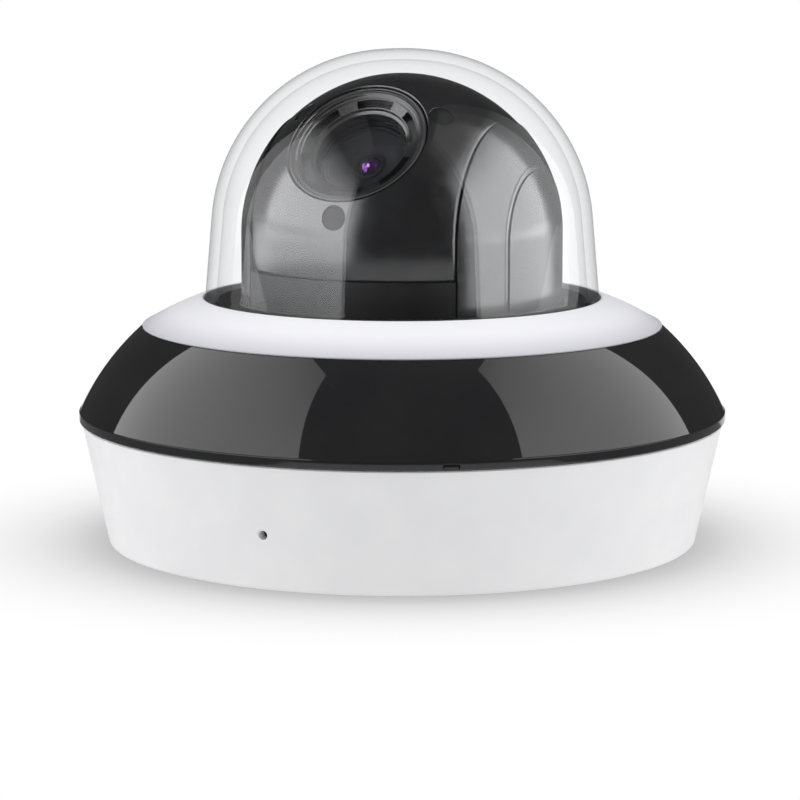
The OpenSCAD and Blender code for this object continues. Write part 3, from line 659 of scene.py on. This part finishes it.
def base_shell():
    """The white housing, with its connector bay, the openings in it and the round holes."""
    shell = lathe("base_shell", base_outline())
    wall = 2
    gap = 0.8            # from the bay's walls to the base's outer face
    beyond = 66          # farther out than the base
    bay = block_in_base((-BAY_HALF - wall, BAY_FRONT - wall, 0.3),
                        (BAY_HALF + wall, beyond, BAY_TOP + wall), gap)
    carve(shell, [bay], "UNION")
    room = block_in_base((-BAY_HALF, BAY_FRONT, -1), (BAY_HALF, beyond, BAY_TOP), wall)
    way_in = block("cut", (-BAY_HALF, BAY_FRONT, -1), (BAY_HALF, 57.2, 3))
    cable_notch = block("cut", (-11.5, 52, -3), (11.5, 72, 12), bevel=3, segments=8)
    behind, ahead = BAY_FRONT + 1, BAY_FRONT - 4
    network_opening = block("cut", (-15.6, ahead, 4.5), (0.6, behind, 15.1))
    power_opening = block("cut", (6.4, ahead, 4.5), (15.6, behind, 14.5))
    facing_rear = Matrix.Rotation(math.radians(-90), 4, "X")
    button = Matrix.Translation((3.5 * MM, ahead * MM, 9 * MM)) @ facing_rear
    button_hole = drill(1.58, 0, 6, button)
    microphone_hole = drill(0.9, 0, 20, polar(-115, 50, 11), flare=0.12, flare_at=12.15)
    lock_hole = drill(1.55, 0, 20, polar(150, 50, 5.5), flare=0.12, flare_at=10.95)
    carve(shell, [room, way_in, cable_notch, network_opening, power_opening, button_hole,
                  microphone_hole, lock_hole])
    return piece(shell, "base", "white_plastic", "base_housing")


def seal_ring():
    """The soft seal between the base and the cover."""
    z1, z2 = low("cover_seal"), top("cover_seal")
    r1, r2 = RIM_R - 2.95, RIM_R - 0.55
    ring = lathe("cover_gasket", rounded([(r1, z1), (r2, z1, 0.06), (r2, z2, 0.06), (r1, z2)], 3))
    return piece(ring, "base", "rubber", "cover_seal")


# ---- cover --------------------------------------------------------------------------------
LIP_R = radius("cover_band")
BAND_Z = low("cover_band")
BAND_TOP_R, BAND_TOP_Z = 52.75, top("cover_band")
LIP_H = 1.85             # upright strip under the band's curved face
LEDGE_Z = 41.8
LATCH_A = -82            # the catch's place round the band, in degrees


def band():
    """The polished black band, a shell whose lower edge ends in an upright lip."""
    lip_in = LIP_R - 2.3
    seat_r, ledge_r = 52.15, 42
    outline = [(lip_in, BAND_Z), (LIP_R, BAND_Z, 0.35), (LIP_R, BAND_Z + LIP_H - 0.3),
               (LIP_R - 0.03, BAND_Z + LIP_H - 0.08)]
    outline += arc((LIP_R - 0.2, BAND_Z + LIP_H), (BAND_TOP_R, BAND_TOP_Z), 1.1, 64)
    outline += [(seat_r, BAND_TOP_Z), (seat_r, LEDGE_Z), (ledge_r, LEDGE_Z),
                (ledge_r, LEDGE_Z - 2)]
    outline += arc((BAND_TOP_R + 0.4, LEDGE_Z - 2), (lip_in, BAND_Z + 1.4), -0.9, 24)
    shell = lathe("black_band", rounded(outline), sharp=20)
    turn = Matrix.Rotation(math.radians(LATCH_A), 4, "Z")
    notch = block("cut", (LIP_R - 1.3, -1.6, BAND_Z - 1), (LIP_R + 1, 1.6, BAND_Z + 1.1), 0.12,
                  turn)
    carve(shell, [notch], sharp=20)
    return piece(shell, "base", "black_gloss", "cover_band")


def latch():
    """The small catch in the notch of the band's lip."""
    turn = Matrix.Rotation(math.radians(LATCH_A), 4, "Z")
    catch = block("catch", (LIP_R - 1.1, -1.38, BAND_Z + 0.03), (LIP_R - 0.1, 1.38, BAND_Z + 0.94),
                  0.16, turn, 4)
    return piece(catch, "base", "black_gloss", "cover_latch")


def pale_ring():
    """The pale ring that holds the dome down: a cone with a rolled outer lip."""
    outer = BAND_TOP_R
    foot = BAND_TOP_Z + 0.08
    ring_top = top("trim_ring")
    inner = 40.3
    outline = [(52, foot), (outer - 0.15, foot, 0.12), (outer, foot + 0.3, 0.15),
               (outer - 0.4, foot + 0.52, 0.1)]
    outline += arc((outer - 0.7, foot + 0.6), (inner + 0.6, ring_top - 0.03), 0.3, 40)
    outline += [(inner, ring_top, 0.22), (inner + 0.3, 46.5), (44.9, 46.5), (44.9, 45.4),
                (51, 42.9), (51, LEDGE_Z + 0.1), (52, LEDGE_Z + 0.1)]
    return piece(lathe("pale_ring", rounded(outline), sharp=35), "base", "pearl_plastic",
                 "trim_ring")


# ---- dome ---------------------------------------------------------------------------------
DOME_R = 36.5            # round shoulder
SHOULDER_X, SHOULDER_Z = 2.14, 62.95     # centre of the shoulder's circle
CROWN_R = 56
DOME_WALL = 2.2
DRAFT = 4.98             # degrees


def dome_line(inset, foot_z):
    """Outline of the dome moved in by inset, from its foot to its top: wall, shoulder, crown."""
    size = DOME_R - inset
    crown_z = SHOULDER_Z - math.sqrt((CROWN_R - DOME_R) ** 2 - SHOULDER_X ** 2)
    crown_a = math.degrees(math.atan2(SHOULDER_Z - crown_z, SHOULDER_X))
    shoulder = circle_arc((SHOULDER_X, SHOULDER_Z), size, DRAFT, crown_a, 72)
    tangent = shoulder[0]
    foot = (tangent[0] + (tangent[1] - foot_z) * math.tan(math.radians(DRAFT)), foot_z)
    crown = circle_arc((0, crown_z), CROWN_R - inset, crown_a, 90, 12)
    return split(foot, tangent, 12) + shoulder + crown[1:-1] + [(0, crown_z + CROWN_R - inset)]


def dome():
    """The clear dome: drafted wall, round top, and a flange under the pale ring."""
    foot = low("clear_dome")
    flange_r, flange_t = radius("clear_dome"), 1.8
    outline = [(flange_r, foot, 0.2), (flange_r, foot + flange_t, 0.2)]
    outline += dome_line(0, foot + flange_t) + dome_line(DOME_WALL, foot)[::-1]
    shell = lathe("dome_shell", rounded(outline), sharp=35)
    inner = shell.data.attributes.new("inner_face", "FLOAT", "POINT")
    centre = Vector((0, 0, SHOULDER_Z * MM))
    for vertex in shell.data.vertices:
        outwards = vertex.co - centre
        outwards.z = max(0, outwards.z)
        inner.data[vertex.index].value = float(vertex.normal.dot(outwards) < 0)
    return piece(shell, "base", "clear_dome", "clear_dome")


def floor_ring():
    """The dark ring between the dome and the head."""
    z = top("dome_floor")
    inner, outer, wall = ARM_R + 0.5, 37.4, 1.4
    foot = low("dome_floor")
    flange_r = 46
    outline = rounded([(inner, z - wall, 0.3), (outer - wall, z - wall), (outer - wall, foot),
                       (flange_r, foot), (flange_r, foot + wall), (outer, foot + wall),
                       (outer, z, 0.4), (inner + 1.2, z, 0.3), (inner, z - 0.45, 0.2)])
    return piece(lathe("dark_floor_ring", outline), "base", "black_matte", "dome_floor")


# ---- panning head -------------------------------------------------------------------------
def sphere_run(size, x1, x2, steps):
    """(x, radius) points on the ball-topped column between two distances from its middle."""
    a1, a2 = math.acos(x1 / size), math.acos(min(1, x2 / size))
    angles = [a1 + (a2 - a1) * i / steps for i in range(steps + 1)]
    return [(size * math.cos(a), size * math.sin(a)) for a in angles]


def edge(x, size, rising, way, reach=0.22):
    """A small rounded edge where a face at x meets the column's surface.

    rising: the outline goes up the face and not down it. way: 1 where the surface lies at
    larger x than the face, and -1 where it lies at smaller x."""
    r = math.sqrt(size ** 2 - (x + way * reach) ** 2)
    points = [(x, r - reach), (x + way * reach * 0.3, r - reach * 0.3), (x + way * reach, r)]
    return points if rising else points[::-1]


def arm_outline():
    """Section of a yoke arm: its inner face, rounded edges, round outside and hollow."""
    shell, web = 2, 1.6
    face = math.sqrt(ARM_R ** 2 - ARM_IN ** 2)
    outline = [(ARM_IN, 0)] + [(ARM_IN, face * f) for f in (0.3, 0.6, 0.9)]
    outline += edge(ARM_IN, ARM_R, True, 1)
    outline += sphere_run(ARM_R, ARM_IN + 0.3, ARM_OUT - 0.3, 16)
    outline += edge(ARM_OUT, ARM_R, False, -1)
    inner = sphere_run(ARM_R - shell, ARM_IN + web, ARM_OUT, 10)
    outline += inner[::-1] + [(ARM_IN + web, inner[0][1] * f) for f in (0.6, 0.3)]
    return outline + [(ARM_IN + web, 0)]


def cap_outline():
    """Section of the cap that closes an arm's outer side."""
    shell = 2
    start = ARM_OUT + SEAM
    outline = edge(start, ARM_R, True, 1) + sphere_run(ARM_R, start + 0.3, ARM_R, 28)
    inner = sphere_run(ARM_R - shell, start, ARM_R - shell, 12)
    return outline + inner[::-1]


def mirrored(outline):
    """The same outline on the other side of the head's middle."""
    return [(-x, r) for x, r in outline]


def yoke():
    """The two arms that carry the ball, and the caps on their outer sides."""
    right_bore, left_bore, motor_bore = 4.45, 6.45, 1.2
    foot = low("yoke_arm_right")
    shaft = Matrix.Rotation(math.radians(90), 4, "Y")
    motor = HEAD @ Matrix.Translation((20 * MM, 5 * MM, 25.2 * MM)) @ shaft
    arm, cap = arm_outline(), cap_outline()
    right = arch("arm_right", arm, foot, HEAD)
    carve(right, [drill(right_bore, -4, 26, TILT), drill(motor_bore, 0, 6, motor)])
    left = arch("arm_left", mirrored(arm), foot, HEAD)
    carve(left, [drill(left_bore, -26, 4, TILT)])
    right_cap = arch("cap_right", cap, foot, HEAD)
    left_cap = arch("cap_left", mirrored(cap), foot, HEAD)
    piece(right, "pan_head", "black_satin", "yoke_arm_right")
    piece(left, "pan_head", "black_satin", "yoke_arm_left")
    piece(right_cap, "pan_head", "black_satin", "side_cap_right")
    piece(left_cap, "pan_head", "black_satin", "side_cap_left")


def fairing(name, side, node):
    """The curved panel between the arms, hollowed to clear the ball."""
    half = ARM_IN - SEAM
    outer, inner = ARM_R - 0.1, ARM_R - 2.1
    foot, rim = low(node), top(node)
    hollow = BALL_R + 0.35
    depth = math.degrees(math.asin((BALL_Z - rim) / hollow))
    knee = math.degrees(math.acos(inner / hollow))
    outline = split((outer, foot), (outer, rim - 0.2), 10)
    outline += [(outer, rim - 0.2), (outer - 0.06, rim - 0.05), (outer - 0.2, rim)]
    outline += circle_arc((0, BALL_Z), hollow, -depth, -knee, 12) + [(inner, foot)]
    bm = bmesh.new()
    steps = 96
    rows = []
    for r, z in outline:
        reach = math.asin(half / r)
        angles = [reach * (2 * k / steps - 1) for k in range(steps + 1)]
        row = [(r * math.sin(a), side * r * math.cos(a), z) for a in angles]
        rows.append([bm.verts.new(p) for p in row])
    skin(bm, rows, wrap=False)
    close_ends(bm)
    return piece(new_object(name, bm, HEAD), "pan_head", "black_matte", node)


# ---- tilting ball -------------------------------------------------------------------------
PORT_R = 14.5
PLUG_R = 2.4
PLUG_CONE = 32.7         # degrees between the lens axis and a plug
PLUG_CLOCK = (-90, 30, 150)    # degrees round the lens
PLUG_FOOT = BALL_R - 1.1


def ball_drum(name):
    """The ball before it is cut: a hollow slice of a sphere, turned about the tilt axis."""
    half, wall = ARM_IN - 0.3, 1.8
    reach = math.degrees(math.asin(half / BALL_R))
    inner_r, inner_half = BALL_R - wall, half - wall
    inner_reach = math.degrees(math.asin(inner_half / inner_r))
    rim = BALL_R * math.cos(math.radians(reach))
    bore, far_bore = 5.05, 3.05
    outline = [(bore, -half), (rim - 0.3, -half), (rim - 0.08, -half + 0.07)]
    outline += circle_arc((0, 0), BALL_R, -reach + 0.5, reach - 0.5, 96)
    outline += [(rim - 0.08, half - 0.07), (rim - 0.3, half), (far_bore, half),
                (far_bore, inner_half)]
    outline += circle_arc((0, 0), inner_r, inner_reach, -inner_reach, 32)
    outline += [(bore, -inner_half)]
    return lathe(name, outline, TILT, sharp=25)


def at_plug(clock):
    """Place of a screw plug: the ball's centre, looking out along the plug."""
    around = Matrix.Rotation(math.radians(clock), 4, "Z")
    return LENS @ around @ Matrix.Rotation(math.radians(PLUG_CONE), 4, "Y")


def plug_recess(clock):
    """Cutter for the recess of one screw plug, with a softened mouth."""
    wide = PLUG_R + 0.08
    mouth = PLUG_R + 0.3
    outline = [(0, PLUG_FOOT), (wide, PLUG_FOOT), (wide, BALL_R - 0.14),
               (mouth, BALL_R + 0.06), (mouth, 36), (0, 36)]
    return lathe("recess", outline, at_plug(clock), SMALL_ROUND)


def ball():
    """Front and rear shells of the ball, with the lens port and the recesses of the plugs."""
    front, rear = ball_drum("ball_front_shell"), ball_drum("ball_rear_shell")
    split_z, reach = -2, 40
    port = lathe("port", [(0, 5), (PORT_R, 5), (PORT_R, 28.38), (PORT_R + 0.12, 28.52),
                          (PORT_R + 0.6, 28.72), (PORT_R + 0.6, reach), (0, reach)], LENS, 256)
    recesses = [plug_recess(clock) for clock in PLUG_CLOCK]
    behind = block("cut", (-reach, -reach, -reach), (reach, reach, split_z), place=LENS)
    carve(front, [behind, port] + recesses, sharp=25)
    ahead = block("cut", (-reach, -reach, split_z - SEAM), (reach, reach, reach), place=LENS)
    carve(rear, [ahead], sharp=25)
    piece(front, "tilt_head", "black_satin", "ball_front")
    piece(rear, "tilt_head", "black_satin", "ball_rear")


def plugs():
    """Three soft plugs over the ball's screws, in one piece as they are in the frame."""
    outline = rounded([(0, PLUG_FOOT), (PLUG_R, PLUG_FOOT), (PLUG_R, BALL_R - 0.3, 0.12),
                       (0, BALL_R - 0.2)])
    whole = bmesh.new()
    for clock in PLUG_CLOCK:
        plug = lathe("plug", outline, at_plug(clock), SMALL_ROUND)
        whole.from_mesh(plug.data)
        bpy.data.objects.remove(plug)
    obj = add_object("screw_plug_set", to_mesh("screw_plug_set", whole))
    smooth(obj)
    return piece(obj, "tilt_head", "plug_plastic", "screw_plugs")


# ---- lens ---------------------------------------------------------------------------------
BEZEL_R = 14.2
WINDOW_R = 9.2
SLOTS = 6
SLOT_ANGLE = 40          # degrees that each slot spans


def slot_cutter(index):
    """Cutter for one arc-shaped slot of the bezel."""
    inner, outer = 10.3, 11.95
    z1, z2 = 26.15, 32
    steps = 24
    middle = 90 + index * 360 / SLOTS
    first = math.radians(middle - SLOT_ANGLE / 2)
    bm = bmesh.new()
    rows = []
    for r, z in ((inner, z1), (outer, z1), (outer, z2), (inner, z2)):
        angles = [first + math.radians(SLOT_ANGLE) * k / steps for k in range(steps + 1)]
        rows.append([bm.verts.new((r * math.cos(a), r * math.sin(a), z)) for a in angles])
    skin(bm, rows, wrap=False)
    close_ends(bm)
    return new_object("slot", bm, LENS)


def bezel():
    """The slotted bezel: a beaded rim, a shallow cone with slots and an inner step."""
    outline = rounded([(9.35, 23.6), (15.6, 23.6), (15.6, 25), (BEZEL_R, 25),
                       (BEZEL_R, 28.45, 0.14), (BEZEL_R - 0.42, 28.5, 0.14),
                       (BEZEL_R - 0.62, 28.02, 0.08), (BEZEL_R - 0.95, 28.0, 0.08),
                       (BEZEL_R - 1.05, 28.26, 0.1), (BEZEL_R - 1.3, 28.2, 0.1),
                       (BEZEL_R - 1.5, 27.92, 0.1), (12.25, 27.8, 0.1), (12.1, 27.55, 0.1),
                       (10.1, 27.0, 0.1), (9.95, 26.45, 0.1), (9.35, 26.2, 0.08)], 4)
    ring = lathe("slotted_bezel", outline, LENS, 288, sharp=30)
    carve(ring, [slot_cutter(i) for i in range(SLOTS)], sharp=30)
    return piece(ring, "tilt_head", "black_satin", "lens_bezel")


def window():
    """The front window, slightly domed."""
    outline = [(0, 24), (WINDOW_R, 24), (WINDOW_R, 25.2)]
    outline += arc((WINDOW_R - 0.1, 25.3), (0, 26.0), 0.25, 32)
    return piece(lathe("window", outline, LENS, 192, sharp=40), "tilt_head", "window_glass",
                 "front_window")


def hood():
    """The dark cone behind the window, with a step at its mouth and a rim at the iris."""
    outline = rounded([(9.1, 23.5), (9.1, 22.9), (3.2, 18.9), (2.7, 18.9), (2.7, 21.8, 0.15),
                       (3.3, 21.8, 0.15), (3.5, 21.4, 0.1), (7.9, 22.7, 0.1), (8.0, 23.0, 0.1),
                       (8.5, 23.1, 0.1), (8.6, 23.5)])
    cone = lathe("lens_cone", outline, LENS, 192)
    return piece(cone, "tilt_head", "black_matte", "lens_hood")


def lens_element():
    """The coated element: a polished barrel with a round end, on a flat seat."""
    tip = 22.6
    bulge = 2.55
    outline = [(0, 13), (9.1, 13), (9.1, 15.5), (bulge, 17.2)]
    outline += circle_arc((0, tip - bulge), bulge, 0, 90, 32)[:-1] + [(0, tip)]
    return piece(lathe("coated_lens", outline, LENS, SMALL_ROUND, sharp=40), "tilt_head",
                 "lens_glass", "front_lens")


# ---- scene --------------------------------------------------------------------------------
CAMERA_BACK_M, CAMERA_UP_M = 0.67016, 0.13177
CAMERA_DOWN = 8.7943     # degrees
CAMERA_LEFT = 0.038      # degrees
LENS_MM, SENSOR_MM = 149.45, 36
FAR_M = 50

# Brightness of the side panels from the floor up, as (share of GLOW_TOP_M, strength)
GLOW_TOP_M = 3.4
BAND_GLOW = ((0.0, 1.6), (0.10, 2.3), (0.25, 2.1), (0.65, 1.35), (1.0, 0.7))
LEFT_GLOW = ((0.0, 1.3), (0.02, 1.9), (0.05, 3.5), (0.22, 3.3), (0.34, 1.6), (0.46, 0.3))
RIGHT_GLOW = ((0.0, 2.9), (0.05, 3.3), (0.12, 3.3), (0.22, 3.0), (0.34, 1.7), (0.46, 0.3))
IN_THE_DOME = ("dome_shell", "arm_", "cap_", "front_fairing", "rear_fairing", "ball_",
               "screw_plug", "slotted_bezel", "window", "lens_cone", "coated_lens")

# What the world and the floor give to matt surfaces
SIDE_LIGHT, TOP_LIGHT, FILL_LIGHT = 2.35, 2.2, 0.10
FLOOR_LIGHT = 0.85

# The shade round the foot of the base, as (share of SHADE_M, brightness)
SHADE_M = 0.058
SHADE = ((0.0, 0.50), (0.07, 0.58), (0.14, 0.68), (0.27, 0.80), (0.42, 0.89), (0.58, 0.95),
         (0.80, 0.985), (1.0, 1.0))
FLOOR_HALF_M = 8
FLOOR_GAP_M = 0.0001     # between the floor and the base's foot


def camera():
    """The camera, where the photo was taken from."""
    data = bpy.data.cameras.new("camera")
    data.lens = LENS_MM
    data.sensor_width = SENSOR_MM
    data.clip_end = FAR_M
    obj = add_object("camera", data)
    obj.location = (0, -CAMERA_BACK_M, CAMERA_UP_M)
    obj.rotation_euler = (math.radians(90 - CAMERA_DOWN), 0, math.radians(CAMERA_LEFT))
    bpy.context.scene.camera = obj


def only_for(lamp, names, others=False):
    """Makes a lamp light only the pieces whose names start so, or only the others."""
    lit = bpy.data.collections.new(lamp.name + "_lit")
    for thing in bpy.data.objects:
        if thing.type == "MESH" and thing.name.startswith(names) != others:
            lit.objects.link(thing)
    lamp.light_linking.receiver_collection = lit
    lamp.visible_camera = lamp.visible_diffuse = False


def side_panel(name, side, front, lean, wide, glow):
    """A tall soft panel a metre to one side of the object, seen only in reflections.

    Its foot reaches front metres towards the camera, and it leans back by lean degrees."""
    tall, sunk = 3.8, 0.4
    lamp = bpy.data.lights.new(name, "AREA")
    lamp.shape = "RECTANGLE"
    lamp.size, lamp.size_y = wide, tall
    lamp.energy = math.pi * wide * tall
    graph = Graph(lamp)
    height = graph.parts(graph.node("ShaderNodeNewGeometry").outputs["Position"])[2]
    brightest = max(strength for _, strength in glow)
    stops = [(share, (strength / brightest,) * 3) for share, strength in glow]
    emission = graph.tree.nodes["Emission"]
    emission.inputs["Strength"].default_value = brightest
    graph.fill(emission.inputs["Color"],
               graph.ramp(graph.spread(height, 0.0, GLOW_TOP_M), stops))
    lean = math.radians(lean)
    up = Vector((0, math.sin(lean), math.cos(lean)))
    back = Vector((0, math.cos(lean), -math.sin(lean)))
    outwards = Vector((side, 0, 0))
    middle = Vector((side, -front, 0)) + back * wide / 2 + up * (tall / 2 - sunk)
    turn = Matrix((up.cross(outwards), up, outwards)).transposed().to_4x4()
    obj = add_object(name, lamp)
    obj.matrix_world = Matrix.Translation(middle) @ turn
    return obj


def top_panel(name, place, size, glow, *names):
    """A square panel above that faces the object, for the sheen of the named pieces."""
    lamp = bpy.data.lights.new(name, "AREA")
    lamp.size = size
    lamp.energy = math.pi * glow * size ** 2
    obj = add_object(name, lamp)
    obj.location = place
    obj.rotation_euler = Vector(place).to_track_quat("Z", "Y").to_euler()
    only_for(obj, names)


def panels():
    """The side panels of the base and, apart from them, those of the dome and the head, so
    that each is placed for its own highlights. Then the panels above."""
    for obj in (side_panel("left_panel", -1, 1.74, 24.8, 2.01, BAND_GLOW),
                side_panel("right_panel", 1, 1.33, 20, 1.70, BAND_GLOW)):
        only_for(obj, IN_THE_DOME + ("pale_ring",), others=True)
    for obj in (side_panel("left_head_panel", -1, 1.42, -9, 1.89, LEFT_GLOW),
                side_panel("right_head_panel", 1, 0.98, -6, 1.68, RIGHT_GLOW)):
        only_for(obj, IN_THE_DOME)
    top_panel("ring_panel", (0, 1.05, 1.70), 2.0, 0.15, "pale_ring")
    top_panel("bezel_panel", (-0.5, -0.6, 1.6), 2.4, 0.32, "slotted_bezel", "lens_cone")
    top_panel("lens_panel", (-0.7, -0.9, 1.2), 0.9, 10.0, "coated_lens")


def world():
    """White behind the object and dark in its reflections. Its matt surfaces are lit from
    above and from the sides."""
    made = bpy.data.worlds.new("studio")
    bpy.context.scene.world = made
    graph = Graph(made)
    path = graph.node("ShaderNodeLightPath").outputs
    x, _, z = graph.parts(graph.node("ShaderNodeTexCoord").outputs["Generated"])
    beside = graph.calculate("POWER", graph.calculate("ABSOLUTE", x), 2.0)
    above = graph.calculate("POWER", graph.calculate("MAXIMUM", z, 0.0), 4.0)
    from_sides = graph.calculate("MULTIPLY", beside, SIDE_LIGHT)
    from_above = graph.calculate("MULTIPLY", above, TOP_LIGHT)
    matt = graph.calculate("ADD", graph.calculate("ADD", from_sides, from_above), FILL_LIGHT)
    seen = graph.choose(path["Glossy Depth"], 1.0, 0.05)
    background = graph.tree.nodes["Background"]
    background.inputs["Color"].default_value = (1, 1, 1, 1)
    graph.fill(background.inputs["Strength"], graph.choose(path["Is Diffuse Ray"], seen, matt))


def floor_seen(graph, distance):
    """The floor as the camera sees it: shaded round the base and white further out."""
    foot = FOOT_R * MM
    shade_share = graph.spread(distance, foot, foot + SHADE_M)
    shade = graph.ramp(shade_share, [(share, (value,) * 3) for share, value in SHADE])
    matt = graph.node("ShaderNodeBsdfDiffuse", Color=(0.8, 0.8, 0.8, 1)).outputs["BSDF"]
    near = graph.mix(0.85, matt, graph.emission(shade))
    return graph.mix(graph.spread(distance, 0.10, 0.20, soft=True), near, graph.emission(1.0))


def floor_mirrored(graph, distance, place, path):
    """The floor in reflections: bright near the object and dark further out. What is in the
    dome mirrors it bright beside the object too, where it lies under the panels."""
    x, y, _ = graph.parts(place)
    sideways = graph.calculate("DIVIDE", x, graph.calculate("ABSOLUTE", y))
    behind = graph.calculate("DIVIDE", y, graph.calculate("ABSOLUTE", x))
    beside = graph.calculate("ADD", graph.spread(sideways, -0.66, -0.76, soft=True),
                             graph.spread(sideways, 0.96, 1.08, soft=True))
    in_dome = graph.calculate("GREATER_THAN", path["Transparent Depth"], 2.5)
    ahead = graph.emission(graph.spread(distance, 0.20, 0.34, 0.85, 0.04, soft=True))
    under_panels = graph.emission(graph.spread(distance, 0.16, 0.30, 0.55, 2.7, soft=True))
    lit = graph.mix(graph.spread(behind, 0.5, 1.1, soft=True), under_panels,
                    graph.emission(0.4))
    return graph.mix(beside, ahead, graph.mix(in_dome, graph.emission(0.2), lit))


def floor_material():
    """The floor's light to the camera, to mirroring surfaces and to matt ones."""
    material = bpy.data.materials.new("floor")
    graph = Graph(material)
    graph.tree.nodes.clear()
    place = graph.node("ShaderNodeNewGeometry").outputs["Position"]
    distance = graph.length(place)
    path = graph.node("ShaderNodeLightPath").outputs
    shown = graph.mix(path["Glossy Depth"], floor_seen(graph, distance),
                      floor_mirrored(graph, distance, place, path))
    shown = graph.mix(path["Is Diffuse Ray"], shown, graph.emission(FLOOR_LIGHT))
    graph.node("ShaderNodeOutputMaterial", Surface=shown)
    return material


def floor():
    """A pale floor that fades into white away from the object."""
    bm = bmesh.new()
    bmesh.ops.create_grid(bm, x_segments=1, y_segments=1, size=FLOOR_HALF_M)
    obj = add_object("floor", to_mesh("floor", bm))
    obj.location.z = CAD_BOX[0][2] - FLOOR_GAP_M
    obj.data.materials.append(floor_material())


def picture():
    """Plain colours, and enough bounces to see what is inside the dome."""
    scene = bpy.context.scene
    scene.view_settings.view_transform = "Standard"
    scene.cycles.use_denoising = True
    scene.cycles.max_bounces = 16
    scene.cycles.transmission_bounces = 16
    scene.cycles.glossy_bounces = 6


camera()
world()
floor()
picture()
paint_frame()
base_shell()
seal_ring()
band()
latch()
pale_ring()
dome()
floor_ring()
yoke()
fairing("front_fairing", -1, "fairing_front")
fairing("rear_fairing", 1, "fairing_rear")
ball()
plugs()
bezel()
window()
hood()
lens_element()
panels()                 # after the pieces, since its lamps look up those that they light
